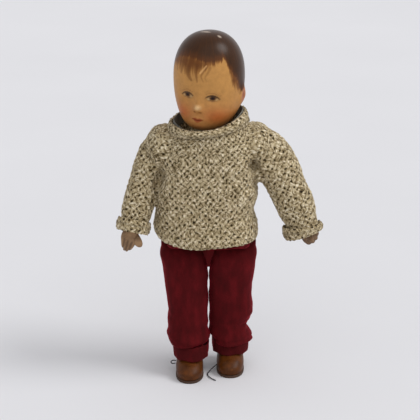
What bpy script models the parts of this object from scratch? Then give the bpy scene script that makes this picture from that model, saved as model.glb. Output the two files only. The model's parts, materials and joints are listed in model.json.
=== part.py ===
"""A dressed cloth doll, about 35 cm tall: a stuffed body with a painted head that swivels on the
neck, arms on shoulder discs and legs hung on a hip pin. It wears a knitted sweater over a shirt,
velveteen trousers with turn-ups, socks and leather shoes with laces.

The doll faces -Y and stands on z = 0. Left and right are the doll's own, so its right is at -X.
"""

from math import acos, cos, exp, pi, radians, sin, sqrt, tau

import bmesh
import bpy
from mathutils import Matrix, Vector

MM = 0.001
SIDES = {"right": -1, "left": 1}
SHARP_ANGLE = 40  # degrees between faces that keep a hard edge

# Points round a section
LIMB_SIDES = 14
TROUSER_SIDES = 18
SLEEVE_SIDES = 18
SHOE_SIDES = 22
TORSO_SIDES = 24
COLLAR_SIDES = 26
HEAD_SIDES = 36

# Clearances
LAYER_GAP = 0.5 * MM    # between two layers of one body
RUNNING_GAP = 0.8 * MM  # between pieces that move past each other
PIN_GAP = 0.4 * MM      # round a pin in its hole

# Legs and feet
LEG_LENGTH = 113.5 * MM  # hip pin to the top of the sole
STEP = 14 * MM           # the right foot stands this far ahead of the left
STANCE_GAP = 6.8 * MM    # between the two turn-ups
THIGH_RADIUS = 18.5 * MM
KNEE_RADIUS = 14 * MM
CALF_RADIUS = 13 * MM
ANKLE_RADIUS = 7 * MM
ANKLE_RISE = 21 * MM     # from the top of the sole
FOOT_HALF = (8.7 * MM, 17 * MM)
FOOT_FORWARD = 8.5 * MM  # foot's middle ahead of the ankle

# Socks and shoes
SOCK_CLOTH = 0.8 * MM
SOCK_EASE = 0.9 * MM     # room between foot and sock
SOCK_HEIGHT = 30 * MM    # above the ankle
SOLE_THICKNESS = 2.6 * MM
SOLE_MARGIN = 0.8 * MM   # the sole stands out this far round the upper
SHOE_LEATHER = 1.3 * MM
SHOE_EASE = 1.5 * MM     # room between sock and shoe at the sides
SHOE_THROAT_EASE = 1 * MM
SHOE_END_EASE = 5 * MM   # room at the toe and the heel
SHOE_RISE = 1.9 * MM     # the throat's height over the ankle
LACE_DIAMETER = 1.0 * MM
LACE_ROUTES = {
    # Chosen points about the ankle, in millimetres: a loose end that drops from the inner side of
    # the left shoe and lies on the floor, and a loop that stands out of the right shoe's outer side
    "left": [(-13.9, -17.4, 6.6), (-16.3, -19.7, 5.4), (-19.2, -21.8, 3.4), (-21.7, -23.8, 1.6),
             (-23.2, -27.6, 0.8), (-22.4, -33.2, 0.8), (-19.7, -38.8, 0.8), (-15, -44.3, 0.8)],
    "right": [(-14.3, -5, 11.6), (-16.4, -5.6, 12.2), (-18.2, -6.4, 12), (-19.2, -6.9, 11),
              (-18.6, -7, 9.7), (-17, -6.6, 9), (-14.5, -6, 9.2)],
}

# Trousers
TROUSER_CLOTH = 1.3 * MM
TROUSER_EASE = 2.7 * MM        # room between thigh and cloth
TROUSER_KNEE_EASE = 3.3 * MM
TROUSER_ANKLE_EASE = {"right": 5 * MM, "left": 8 * MM}
TROUSER_BREAK = 17 * MM        # hem's height over the top of the sole
HEM_EASE = (0.9 * MM, 2.4 * MM)  # room between hem and shoe, at the sides and at the front
HEM_REACH = 40 * MM            # height over which the push of the shoe fades out
FOLD_DEPTH = 2.6 * MM          # of the roll that gathers on the turn-up
FOLD_RISE = 7 * MM             # its height over the turn-up
FOLD_REACH = 6 * MM
SLACK_DEPTH = {"right": 0.5 * MM, "left": 2.6 * MM}  # fullness of the outer side below the knee
SLACK_RISE = 27 * MM
SLACK_REACH = 9 * MM
TURN_UP_HEIGHT = 15 * MM
TURN_UP_CLOTH = 1.3 * MM
TURN_UP_ROLL = 0.7 * MM        # how far its edge bulges
TURN_UP_ROWS = ((0, 0.6), (0.2, 1.0), (0.6, 0.7), (1, 0.3))  # shares of its height and of its roll
SEAT_FLARE = 8 * MM            # how far the seat stands out at its lower edge
SEAT_HEIGHT = 27 * MM
WAISTBAND_HEIGHT = 9 * MM
GUSSET_INSET = 2 * MM          # gusset's edge inside the tops of the legs

# Torso and neck
TORSO_LENGTH = 82.5 * MM  # torso's lower edge to the shoulder pin
TORSO_HIP_HALF = (35 * MM, 27 * MM)
TORSO_CHEST_HALF = (34 * MM, 27 * MM)
SHOULDER_HALF = (31 * MM, 21 * MM)
SHOULDER_CAP = 9 * MM     # top of the shoulder above the shoulder pin
NECK_RADIUS = 12 * MM
NECK_RISE = 48 * MM       # neck's top above the shoulder pin

# Joint hardware
PIN_RADIUS = 1.5 * MM
PIN_HOLD = 4 * MM         # how far a pin goes on past its discs
DISC_THICKNESS = 2.2 * MM
HIP_DISC_INSET = 8.5 * MM       # disc's edge inside the thigh
SHOULDER_DISC_INSET = 3.5 * MM  # disc's edge inside the arm
NECK_DISC_LIP = 3 * MM          # head's disc beyond the neck
TAB_THICKNESS = 2.4 * MM
TAB_RADIUS = 9.5 * MM
TAB_ROOT = 11 * MM        # how far the hip tab is sewn up into the torso

# Arms
ARM_ROOT_RADIUS = 11.5 * MM
ELBOW_RADIUS = 9.5 * MM
WRIST_RADIUS = 8 * MM
PALM_HALF = (9.5 * MM, 6.5 * MM)
HAND_LENGTH = 17 * MM
THUMB_RADIUS = 3.4 * MM
THUMB_LENGTH = 11 * MM
ARM_STRAIGHT = {"right": 59 * MM, "left": 60 * MM}  # from the shoulder's turn to the wrist
ARM_SPLAY = {"right": 12, "left": 22}   # degrees out from the vertical
ARM_FORWARD = {"right": 17, "left": 6}  # degrees forward of the vertical
HAND_TURN = {"right": 10, "left": 28}   # degrees that the hand turns out at the wrist
THUMB_TURN = {"right": 0, "left": 75}   # degrees from the hand's inner edge to its front

# Sweater
KNIT = 2.6 * MM                # thickness of the knitted cloth
SLEEVE_SEAM = 11.4 * MM        # sleeve's seam outside the shoulder joint
ARMHOLE_EASE = 5.5 * MM
ARMPIT_RADIUS = 2 * MM         # of the crease under the arm
SLEEVE_UNDER_EASE = {"right": 1.2 * MM, "left": 9.3 * MM}  # room in the sleeve under the arm's root
SLEEVE_TOP_EASE = {"right": 17 * MM, "left": 22 * MM}   # room over the shoulder
SLEEVE_TOP_REACH = {"right": 24 * MM, "left": 48 * MM}     # how far down the arm that goes
SLEEVE_ELBOW_EASE = {"right": 2.8 * MM, "left": 8.4 * MM}
SLEEVE_WRIST_EASE = {"right": 1.8 * MM, "left": 5.3 * MM}
CUFF_HEIGHT = 12 * MM
CUFF_EASE = 0.8 * MM
CUFF_ROLL = 1.5 * MM           # how far the cuff bulges
SWEATER_HEM_EASE = 4 * MM      # room over the trousers' seat
SWEATER_WAIST_EASE = (2.6 * MM, 5.6 * MM)
SWEATER_CHEST_DEPTH = 8 * MM   # room in front of the chest and behind it
HEM_WAVE = 1.3 * MM            # depth of the hem's slack waves
HEM_LIFT = 2.6 * MM            # sweater's hem above the torso's lower edge
WAIST_LIFT = 30 * MM
COLLAR_KNIT = 4.2 * MM
COLLAR_HEIGHT = 13 * MM
COLLAR_BELOW = 16.5 * MM       # collar's lower edge below the neck's top, at the sides
COLLAR_DROP = 6 * MM           # the front hangs this much lower than the sides
COLLAR_BACK = 5 * MM           # and the back stands this much higher
COLLAR_LEAN = 5.5 * MM         # the left side stands this much higher than the middle
JAW_EASE = 2.1 * MM            # room between the turning jaw and the shirt's collar

# Shirt
SHIRT_CLOTH = 0.8 * MM
SHIRT_EASE = 1.5 * MM
SHIRT_TAIL = 5 * MM            # shirt's lower edge above the torso's
SHIRT_COLLAR_CLOTH = 1.1 * MM
SHIRT_COLLAR_HEIGHT = 15 * MM
SHIRT_COLLAR_SHOW = 2 * MM     # its lower edge above the sweater collar's
SHIRT_COLLAR_DROP = 11 * MM

# Head
HEAD_TURN = -22                # degrees: the doll looks to its right
HEAD_HALF_WIDTH = 34.5 * MM
HEAD_FRONT = 35 * MM
HEAD_BACK = 38 * MM
HEAD_CROWN = 44 * MM           # above the head's centre
HEAD_CHIN = 47 * MM            # below it
HEAD_OVERLAP = 10.6 * MM       # the chin hangs this far below the neck's top
HEAD_SET_BACK = 1.5 * MM       # head's middle behind the neck's axis
HEAD_WALL = 2.6 * MM
EAR_DEPTH = 3.6 * MM
# Relief of the face: out from the middle, height about the head's centre, width, height, depth, all in mm
FACE_RELIEF = {
    "nose_tip": (0, -25, 4.2, 4.6, 4.6),
    "nose_bridge": (0, -17, 3.4, 7, 1.6),
    "lips": (0, -36.5, 6, 3.4, 1.7),
    "chin": (0, -44, 8, 4, 2.0),
    "cheeks": (19, -29, 9, 9, 1.8),
    "eye_sockets": (12.5, -14.5, 6.5, 4.5, -2.0),
}

# Sizes that follow from those
HOLE_RADIUS = PIN_RADIUS + PIN_GAP
HIP_HEIGHT = SOLE_THICKNESS + LEG_LENGTH
ANKLE_HEIGHT = SOLE_THICKNESS + ANKLE_RISE
HEM_HEIGHT = SOLE_THICKNESS + TROUSER_BREAK
SOCK_WALL = SOCK_EASE + SOCK_CLOTH
SHOE_HEIGHT = ANKLE_HEIGHT + SHOE_RISE
SHOE_WIDTH = 2 * (FOOT_HALF[0] + SOCK_WALL + SHOE_EASE + SHOE_LEATHER)
SHOE_LENGTH = 2 * (FOOT_HALF[1] + SOCK_WALL + SHOE_END_EASE + SHOE_LEATHER)
SHOE_THROAT = 2 * (ANKLE_RADIUS + SOCK_WALL + SHOE_THROAT_EASE + SHOE_LEATHER)
TROUSER_HIP_RADIUS = THIGH_RADIUS + TROUSER_EASE + TROUSER_CLOTH
TROUSER_KNEE_RADIUS = max(KNEE_RADIUS, CALF_RADIUS + SOCK_WALL) + TROUSER_KNEE_EASE + TROUSER_CLOTH
TURN_UP_WALL = LAYER_GAP + TURN_UP_CLOTH + TURN_UP_ROLL
LEG_SPACING = 2 * (TROUSER_HIP_RADIUS + RUNNING_GAP) + TAB_THICKNESS
HIP_DISC_RADIUS = THIGH_RADIUS - HIP_DISC_INSET
HIP_DISC_FACE = LEG_SPACING / 2 + 0.7 * THIGH_RADIUS  # from the middle of the doll
TORSO_BOTTOM = HIP_HEIGHT + TROUSER_HIP_RADIUS + RUNNING_GAP
SHOULDER_HEIGHT = TORSO_BOTTOM + TORSO_LENGTH
SHOULDER_DISC_RADIUS = ARM_ROOT_RADIUS - SHOULDER_DISC_INSET
SHOULDER_PIN_REACH = 2 * DISC_THICKNESS + PIN_HOLD    # into the torso, and as far into the arm
NECK_TOP = SHOULDER_HEIGHT + NECK_RISE
NECK_PIN_REACH = 3 * DISC_THICKNESS + PIN_HOLD        # into the neck, and as far into the head
NECK_DISC_RADIUS = NECK_RADIUS + NECK_DISC_LIP
HEAD_DISC_BOTTOM = NECK_TOP + DISC_THICKNESS + RUNNING_GAP
HEAD_CENTRE = NECK_TOP + HEAD_CHIN - HEAD_OVERLAP
SHIRT_WALL = SHIRT_EASE + SHIRT_CLOTH
SEAT_WALL = SHIRT_WALL + 2 * LAYER_GAP + TROUSER_CLOTH
COLLAR_BASE = NECK_TOP - COLLAR_BELOW
SHIRT_COLLAR_RADIUS = 0.9 * max(HEAD_FRONT, HEAD_HALF_WIDTH) + JAW_EASE  # inside
COLLAR_RADIUS = SHIRT_COLLAR_RADIUS + SHIRT_COLLAR_CLOTH + LAYER_GAP     # inside

# Finishes: colour, roughness, metallic
FINISHES = {
    "painted_cloth": ((0.55, 0.30, 0.15), 0.45, 0.0),
    "muslin": ((0.42, 0.30, 0.21), 0.85, 0.0),
    "hand_cloth": ((0.25, 0.16, 0.10), 0.7, 0.0),
    "wadding": ((0.62, 0.55, 0.44), 0.95, 0.0),
    "card_disc": ((0.35, 0.26, 0.17), 0.8, 0.0),
    "steel": ((0.55, 0.55, 0.56), 0.35, 1.0),
    "tweed_knit": ((0.42, 0.36, 0.26), 0.95, 0.0),
    "shirt_cotton": ((0.30, 0.29, 0.28), 0.9, 0.0),
    "red_velveteen": ((0.14, 0.010, 0.014), 0.8, 0.0),
    "sock_knit": ((0.50, 0.47, 0.42), 0.9, 0.0),
    "shoe_leather": ((0.14, 0.055, 0.025), 0.5, 0.0),
    "sole_leather": ((0.09, 0.04, 0.02), 0.7, 0.0),
    "lace_cotton": ((0.02, 0.015, 0.015), 0.8, 0.0),
}


# Scene, materials and small tools

def clear_scene():
    for old in list(bpy.data.objects):
        bpy.data.objects.remove(old, do_unlink=True)


def new_collection(name):
    made = bpy.data.collections.new(name)
    bpy.context.scene.collection.children.link(made)
    return made


def finish_material(name):
    found = bpy.data.materials.get(name)
    if found:
        return found
    colour, roughness, metallic = FINISHES[name]
    made = bpy.data.materials.new(name)
    made.use_nodes = True
    shader = made.node_tree.nodes["Principled BSDF"]
    shader.inputs["Base Color"].default_value = (*colour, 1)
    shader.inputs["Roughness"].default_value = roughness
    shader.inputs["Metallic"].default_value = metallic
    return made


def add_object(name, mesh, finish, parent):
    made = bpy.data.objects.new(name, mesh)
    DOLL.objects.link(made)
    made.parent = parent
    made.data.materials.append(finish_material(finish))
    return made


def add_empty(name, place, parent=None):
    made = bpy.data.objects.new(name, None)
    DOLL.objects.link(made)
    made.parent = parent
    made.location = place
    return made


def mesh_from(bm, name, smooth=True):
    mesh = bpy.data.meshes.new(name)
    bm.to_mesh(mesh)
    bm.free()
    if smooth:
        mesh.shade_smooth()
        mesh.set_sharp_from_angle(angle=radians(SHARP_ANGLE))
    return mesh


def loft_mesh(name, rings, capped=(True, True), loop=False):
    """Skins rings of equally many points, with flat caps on the ends or the last ring on the first."""
    bm = bmesh.new()
    loops = [[bm.verts.new(point) for point in ring] for ring in rings]
    pairs = list(zip(loops, loops[1:]))
    if loop:
        pairs.append((loops[-1], loops[0]))
    outwardness = 0
    for low, high in pairs:
        middle = sum((vert.co for vert in [*low, *high]), Vector()) / (2 * len(low))
        for here, after in zip(range(len(low)), [*range(1, len(low)), 0]):
            face = bm.faces.new((low[here], low[after], high[after], high[here]))
            face.normal_update()
            outwardness += face.calc_area() * face.normal.dot(face.calc_center_median() - middle)
    if capped[0] and not loop:
        bm.faces.new(reversed(loops[0]))
    if capped[1] and not loop:
        bm.faces.new(loops[-1])
    if outwardness < 0:
        bmesh.ops.reverse_faces(bm, faces=bm.faces)
    return mesh_from(bm, name)


def add_solidify(made, thickness):
    """Gives an open surface its cloth thickness, inwards."""
    wall = made.modifiers.new("cloth", "SOLIDIFY")
    wall.thickness = thickness
    wall.offset = -1
    wall.use_quality_normals = True


def add_cut(made, cutter):
    cut = made.modifiers.new("cut_" + cutter.name, "BOOLEAN")
    cut.operation = "DIFFERENCE"
    cut.object = cutter


def cylinder_mesh(name, radius, depth, sides, along):
    """A cylinder about its middle, along X or Z."""
    bm = bmesh.new()
    bmesh.ops.create_cone(
        bm, cap_ends=True, segments=sides, radius1=radius, radius2=radius, depth=depth
    )
    if along == "X":
        bmesh.ops.rotate(bm, verts=bm.verts, matrix=Matrix.Rotation(pi / 2, 3, "Y"))
    return mesh_from(bm, name)


def box_mesh(name, size):
    bm = bmesh.new()
    bmesh.ops.create_cube(bm, size=1)
    bmesh.ops.scale(bm, verts=bm.verts, vec=size)
    return mesh_from(bm, name, smooth=False)


def add_cutter(name, mesh, place, parent):
    made = bpy.data.objects.new(name, mesh)
    CUTTERS.objects.link(made)
    made.parent = parent
    made.location = place
    made.hide_render = True
    made.display_type = "WIRE"
    return made


def ring(centre, across, along, half_across, half_along, squareness, count, swell=None):
    """A superellipse in the plane of two directions. swell(angle) adds to its reach."""
    points = []
    for step in range(count):
        angle = tau * step / count
        c, s = cos(angle), sin(angle)
        reach = (abs(c) ** squareness + abs(s) ** squareness) ** (-1 / squareness)
        more = swell(angle) if swell else 0
        points.append(
            centre
            + across * (c * reach * (half_across + more))
            + along * (s * reach * (half_along + more))
        )
    return points


def level_ring(x, y, z, half, squareness, count, swell=None):
    """A horizontal section. Angle 0 is at +X and a quarter turn is at +Y, the back."""
    return ring(Vector((x, y, z)), Vector((1, 0, 0)), Vector((0, 1, 0)), half[0], half[1],
                squareness, count, swell)


def ease(t):
    """A smooth step from 0 to 1."""
    t = min(1.0, max(0.0, t))
    return t * t * (3 - 2 * t)


def mix(a, b, t):
    return a + (b - a) * t


def at_station(stations, place):
    """The row of numbers at a place, read smoothly between the given rows."""
    for low, high in zip(stations, stations[1:]):
        if place < high[0]:
            t = ease((place - low[0]) / (high[0] - low[0]))
            return [mix(a, b, t) for a, b in zip(low[1:], high[1:])]
    return list(stations[-1][1:])


def along_stations(stations, steps):
    """Rows read smoothly between the given rows, with steps in each span, and the last one."""
    rows = []
    for low, high in zip(stations, stations[1:]):
        places = [mix(low[0], high[0], step / steps) for step in range(steps)]
        rows += [[place, *at_station([low, high], place)] for place in places]
    return [*rows, list(stations[-1])]


# Legs

def trouser_ankle(side):
    """Half width of a trouser leg above its hem."""
    return ANKLE_RADIUS + TROUSER_ANKLE_EASE[side] + TROUSER_CLOTH


def leg_axis(side, height):
    """Middle of a leg at a height above the floor: from the hip down to the ankle."""
    sign = SIDES[side]
    t = (HIP_HEIGHT - height) / (HIP_HEIGHT - ANKLE_HEIGHT)
    t = min(1.0, max(0.0, t))
    stance = STANCE_GAP / 2 + trouser_ankle(side) + TURN_UP_WALL
    return Vector((sign * mix(LEG_SPACING / 2, stance, t), sign * STEP / 2 * t, height))


def barrel_rings(side, radius, count):
    """A rounded top that is turned about the hip pin, from the pin's height upwards."""
    centre = leg_axis(side, HIP_HEIGHT)
    rings = []
    steps = 4
    for step in range(steps):
        lift = radius * sin(pi / 2 * step / steps)
        depth = sqrt(radius * radius - lift * lift)
        width = radius * roundness(lift / radius, 4)
        rings.append(level_ring(centre.x, 0, HIP_HEIGHT + lift, (width, depth), 3, count))
    return rings


def foot_rings(side, extra):
    """A round stuffed foot in level sections, from its flat underside up to the ankle; a sock's is
    extra larger all round."""
    ankle = leg_axis(side, ANKLE_HEIGHT)
    under = SOLE_THICKNESS + SHOE_LEATHER + SOCK_WALL + LAYER_GAP
    rings = []
    for share, width, length, forward, lift in (
        (0.0, 0.62, 0.76, 1.0, -1.0),
        (0.16, 0.95, 0.97, 1.0, -0.5),
        (0.4, 1.0, 0.94, 0.94, 0.3),
        (0.66, 0.84, 0.62, 0.5, 0.7),
    ):
        height = mix(under, ANKLE_HEIGHT, share) + extra * lift
        half = (FOOT_HALF[0] * width + extra, FOOT_HALF[1] * length + extra)
        rings.append(level_ring(ankle.x, ankle.y - FOOT_FORWARD * forward, height, half, 2.2, LIMB_SIDES))
    return rings


def leg_radius(height):
    """The stuffed leg tapers down from the thigh and swells at the knee and the calf."""
    stations = [
        (ANKLE_HEIGHT, ANKLE_RADIUS),
        (mix(ANKLE_HEIGHT, HIP_HEIGHT, 0.32), CALF_RADIUS),
        (mix(ANKLE_HEIGHT, HIP_HEIGHT, 0.52), KNEE_RADIUS),
        (mix(ANKLE_HEIGHT, HIP_HEIGHT, 0.85), THIGH_RADIUS),
    ]
    return at_station(stations, height)[0]


def leg_ring(side, height, extra):
    middle, radius = leg_axis(side, height), leg_radius(height) + extra
    return level_ring(middle.x, middle.y, height, (radius, radius), 2.1, LIMB_SIDES)


def sock_heights():
    return [ANKLE_HEIGHT + SOCK_HEIGHT * step / 3 for step in range(4)]


def make_leg(side, pivot):
    heights = sock_heights()
    heights += [mix(heights[-1], HIP_HEIGHT, share) for share in (0.25, 0.5, 0.75)]
    rings = foot_rings(side, 0)
    rings += [leg_ring(side, height, 0) for height in heights]
    rings += barrel_rings(side, THIGH_RADIUS, LIMB_SIDES)
    leg = add_object("leg_" + side, loft_mesh("leg_" + side, on_pivot(rings, pivot)), "muslin", pivot)
    add_cut(leg, HIP_BORE)
    add_cut(leg, HIP_POCKETS[side])


def on_pivot(rings, pivot):
    """Ring points given in the doll's frame, read from a joint's empty."""
    return [[point - pivot.location for point in points] for points in rings]


def trouser_swell(side, height):
    """The folds of a trouser leg: a roll on the turn-up and a slack outer side."""
    outward = 0 if side == "left" else pi
    over = height - HEM_HEIGHT - TURN_UP_HEIGHT
    roll = FOLD_DEPTH * exp(-(((over - FOLD_RISE) / FOLD_REACH) ** 2))
    slack = SLACK_DEPTH[side] * exp(-(((over - SLACK_RISE) / SLACK_REACH) ** 2))

    def swell(angle):
        outer = 0.5 + 0.5 * cos(angle - outward)
        front = 0.5 - 0.5 * sin(angle)
        return roll * (0.5 + 0.5 * front - 0.25 * outer) + slack * outer

    return swell


def trouser_ring(side, height, extra):
    """A section of a trouser leg, extra outside its cloth. Near the hem it goes round the shoe."""
    knee = mix(HEM_HEIGHT, HIP_HEIGHT, 0.45)
    half = extra + at_station([(HEM_HEIGHT, trouser_ankle(side)), (knee, TROUSER_KNEE_RADIUS),
                               (HIP_HEIGHT, TROUSER_HIP_RADIUS)], height)[0]
    shoe_length, shoe_width, shoe_back = at_station(shoe_stations(), height)
    over_shoe = [room + TROUSER_CLOTH + extra for room in HEM_EASE]
    pushed = 1 - ease((height - HEM_HEIGHT) / HEM_REACH)
    middle = leg_axis(side, height)
    half_width = mix(half, max(half, shoe_width / 2 + over_shoe[0]), pushed)
    half_width = min(half_width, abs(middle.x) - RUNNING_GAP - TAB_THICKNESS / 2)
    half_depth = mix(half, max(half, shoe_length / 2 + over_shoe[1]), pushed)
    forward = (FOOT_FORWARD - shoe_back) * pushed
    squareness = mix(2.4, 3, ease((height - HEM_HEIGHT) / (HIP_HEIGHT - HEM_HEIGHT)))
    return level_ring(middle.x, middle.y - forward, height, (half_width, half_depth), squareness,
                      TROUSER_SIDES, trouser_swell(side, height))


def make_trouser_leg(side, pivot):
    levels = 7
    top = HEM_HEIGHT + TURN_UP_HEIGHT
    heights = [HEM_HEIGHT + TURN_UP_HEIGHT * share for share, _ in TURN_UP_ROWS]
    heights += [mix(top, HIP_HEIGHT, level / levels) for level in range(1, levels)]
    rings = [trouser_ring(side, height, 0) for height in heights]
    rings += barrel_rings(side, TROUSER_HIP_RADIUS, TROUSER_SIDES)
    mesh = loft_mesh("trouser_leg_" + side, on_pivot(rings, pivot), capped=(False, True))
    cloth = add_object("trouser_leg_" + side, mesh, "red_velveteen", pivot)
    add_solidify(cloth, TROUSER_CLOTH)
    add_cut(cloth, HIP_OPENING)


def make_turn_up(side, pivot):
    """The hem turned back outside the trouser leg."""
    rings = []
    for share, roll in TURN_UP_ROWS:
        extra = LAYER_GAP + TURN_UP_CLOTH + TURN_UP_ROLL * roll
        rings.append(trouser_ring(side, HEM_HEIGHT + TURN_UP_HEIGHT * share, extra))
    mesh = loft_mesh("turn_up_" + side, on_pivot(rings, pivot), capped=(False, False))
    add_solidify(add_object("turn_up_" + side, mesh, "red_velveteen", pivot), TURN_UP_CLOTH)


def make_sock(side, pivot):
    rings = foot_rings(side, SOCK_WALL)
    rings += [leg_ring(side, height, SOCK_WALL) for height in sock_heights()]
    mesh = loft_mesh("sock_" + side, on_pivot(rings, pivot), capped=(True, False))
    add_solidify(add_object("sock_" + side, mesh, "sock_knit", pivot), SOCK_CLOTH)


def shoe_stations():
    """Height, length, width and backward shift of the shoe's sections, from the sole to the throat."""
    base = SOLE_THICKNESS + LAYER_GAP
    throat_length = SHOE_THROAT + 4 * SHOE_LEATHER
    return [
        (base, SHOE_LENGTH, SHOE_WIDTH, 0.0),
        (mix(base, SHOE_HEIGHT, 0.28), SHOE_LENGTH * 1.02, SHOE_WIDTH * 1.05, 0.0),
        (mix(base, SHOE_HEIGHT, 0.54), SHOE_LENGTH * 0.89, SHOE_WIDTH, SHOE_LENGTH * 0.055),
        (mix(base, SHOE_HEIGHT, 0.74), SHOE_LENGTH * 0.67, mix(SHOE_THROAT, SHOE_WIDTH, 0.2),
         SHOE_LENGTH * 0.13),
        (SHOE_HEIGHT, throat_length, SHOE_THROAT, FOOT_FORWARD * 0.87),
    ]


def shoe_ring(side, height, length, width, back_shift):
    """A shoe's outline: round at the toe and narrower at the heel."""
    ankle = leg_axis(side, ANKLE_HEIGHT)
    points = level_ring(ankle.x, ankle.y - FOOT_FORWARD + back_shift, height, (width / 2, length / 2), 2.4,
                        SHOE_SIDES)
    for step, point in enumerate(points):
        heel = 0.5 + 0.5 * sin(tau * step / SHOE_SIDES)
        point.x = mix(point.x, ankle.x, 0.09 * heel)
    return points


def make_shoe(side, pivot):
    rings = [shoe_ring(side, *row) for row in along_stations(shoe_stations(), 2)]
    mesh = loft_mesh("shoe_upper_" + side, on_pivot(rings, pivot), capped=(False, False))
    add_solidify(add_object("shoe_upper_" + side, mesh, "shoe_leather", pivot), SHOE_LEATHER)
    edge = 2 * SOLE_MARGIN
    sole = [shoe_ring(side, height, SHOE_LENGTH + edge, SHOE_WIDTH + edge, 0.0)
            for height in (0, SOLE_THICKNESS)]
    mesh = loft_mesh("shoe_sole_" + side, on_pivot(sole, pivot))
    add_object("shoe_sole_" + side, mesh, "sole_leather", pivot)


# Hip hardware, made round the hip pin

def make_hip_cutters():
    hip = Vector((0, 0, HIP_HEIGHT))
    bore = cylinder_mesh("hip_bore", HOLE_RADIUS, 4 * LEG_SPACING, 16, "X")
    opening = cylinder_mesh("hip_opening", TAB_RADIUS, LEG_SPACING, 16, "X")
    pockets = {}
    for side, sign in SIDES.items():
        depth = 2 * THIGH_RADIUS
        place = hip + Vector((sign * (HIP_DISC_FACE + depth / 2 - PIN_GAP), 0, 0))
        mesh = cylinder_mesh("hip_pocket_" + side, HIP_DISC_RADIUS + PIN_GAP, depth, 20, "X")
        pockets[side] = add_cutter("hip_pocket_" + side, mesh, place, ROOT)
    return add_cutter("hip_bore", bore, hip, ROOT), add_cutter("hip_opening", opening, hip, ROOT), pockets


def add_disc(name, radius, thickness, along, place, bore, parent):
    """A card disc with a hole for its pin."""
    disc = add_object(name, cylinder_mesh(name, radius, thickness, 20, along), "card_disc", parent)
    disc.location = place
    add_cut(disc, bore)


def add_pin(name, length, along, place):
    pin = add_object(name, cylinder_mesh(name, PIN_RADIUS, length, 12, along), "steel", ROOT)
    pin.location = place


def make_hip_joint():
    hip = Vector((0, 0, HIP_HEIGHT))
    add_pin("hip_pin", 2 * (HIP_DISC_FACE + DISC_THICKNESS), "X", hip)
    for side, sign in SIDES.items():
        place = hip + Vector((sign * (HIP_DISC_FACE + DISC_THICKNESS / 2), 0, 0))
        add_disc("hip_disc_" + side, HIP_DISC_RADIUS, DISC_THICKNESS, "X", place, HIP_BORE, ROOT)
    tab = plate("hip_tab", tab_outline(TAB_RADIUS, TORSO_BOTTOM + TAB_ROOT), TAB_THICKNESS, "muslin")
    add_cut(tab, HIP_BORE)
    top = TORSO_BOTTOM - LAYER_GAP
    outline = tab_outline(TROUSER_HIP_RADIUS - GUSSET_INSET, top)
    slot = tab_outline(TAB_RADIUS + LAYER_GAP, top)
    plate("trousers_gusset", outline + slot[::-1], TAB_THICKNESS, "red_velveteen")


def tab_outline(radius, top):
    """A U in the YZ plane: down one side, round under the hip pin and up the other."""
    points = [(-radius, top)]
    steps = 14
    for step in range(steps + 1):
        angle = pi + pi * step / steps
        points.append((radius * cos(angle), HIP_HEIGHT + radius * sin(angle)))
    points.append((radius, top))
    return points


def plate(name, outline, thickness, finish):
    """A flat piece across the middle plane, from its outline as (y, z) points."""
    curve = bpy.data.curves.new(name, "CURVE")
    curve.dimensions = "2D"
    curve.fill_mode = "BOTH"
    curve.extrude = thickness / 2
    spline = curve.splines.new("POLY")
    spline.points.add(len(outline) - 1)
    for point, (y, z) in zip(spline.points, outline):
        point.co = (y, z, 0, 1)
    spline.use_cyclic_u = True
    drawn = bpy.data.objects.new(name + "_outline", curve)
    CUTTERS.objects.link(drawn)
    bpy.context.view_layer.update()
    mesh = bpy.data.meshes.new_from_object(drawn.evaluated_get(bpy.context.evaluated_depsgraph_get()))
    bpy.data.objects.remove(drawn)
    bm = bmesh.new()
    bm.from_mesh(mesh)
    bmesh.ops.remove_doubles(bm, verts=bm.verts, dist=0.01 * MM)
    upright = Matrix(((0, 0, 1), (1, 0, 0), (0, 1, 0)))
    bmesh.ops.rotate(bm, verts=bm.verts, matrix=upright)
    bmesh.ops.recalc_face_normals(bm, faces=bm.faces)
    return add_object(name, mesh_from(bm, name, smooth=False), finish, ROOT)


# Torso, seat and shirt

def torso_stations():
    """Height, half width, half depth and squareness of the stuffed torso, from below."""
    shoulder_top = SHOULDER_HEIGHT + SHOULDER_CAP
    return [
        (TORSO_BOTTOM, TORSO_HIP_HALF[0] * 0.9, TORSO_HIP_HALF[1] * 0.88, 2.6),
        (mix(TORSO_BOTTOM, SHOULDER_HEIGHT, 0.16), *TORSO_HIP_HALF, 2.5),
        (mix(TORSO_BOTTOM, SHOULDER_HEIGHT, 0.75), *TORSO_CHEST_HALF, 2.4),
        (shoulder_top, *SHOULDER_HALF, 2.4),
        (mix(shoulder_top, NECK_TOP, 0.3), NECK_RADIUS * 1.25, NECK_RADIUS * 1.15, 2.0),
        (mix(shoulder_top, NECK_TOP, 0.55), NECK_RADIUS, NECK_RADIUS, 2.0),
        (NECK_TOP, NECK_RADIUS, NECK_RADIUS, 2.0),
    ]


def torso_half(height):
    """Half width, half depth and squareness of the torso at a height."""
    return at_station(torso_stations(), height)


def arm_root():
    """Shoulder joint's plane, from the middle of the doll: outside the torso's side and its disc."""
    return torso_half(SHOULDER_HEIGHT)[0] + LAYER_GAP + DISC_THICKNESS + RUNNING_GAP / 2


def sleeve_plane():
    """Where sleeve and sweater meet, from the middle of the doll."""
    return arm_root() + SLEEVE_SEAM


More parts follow.
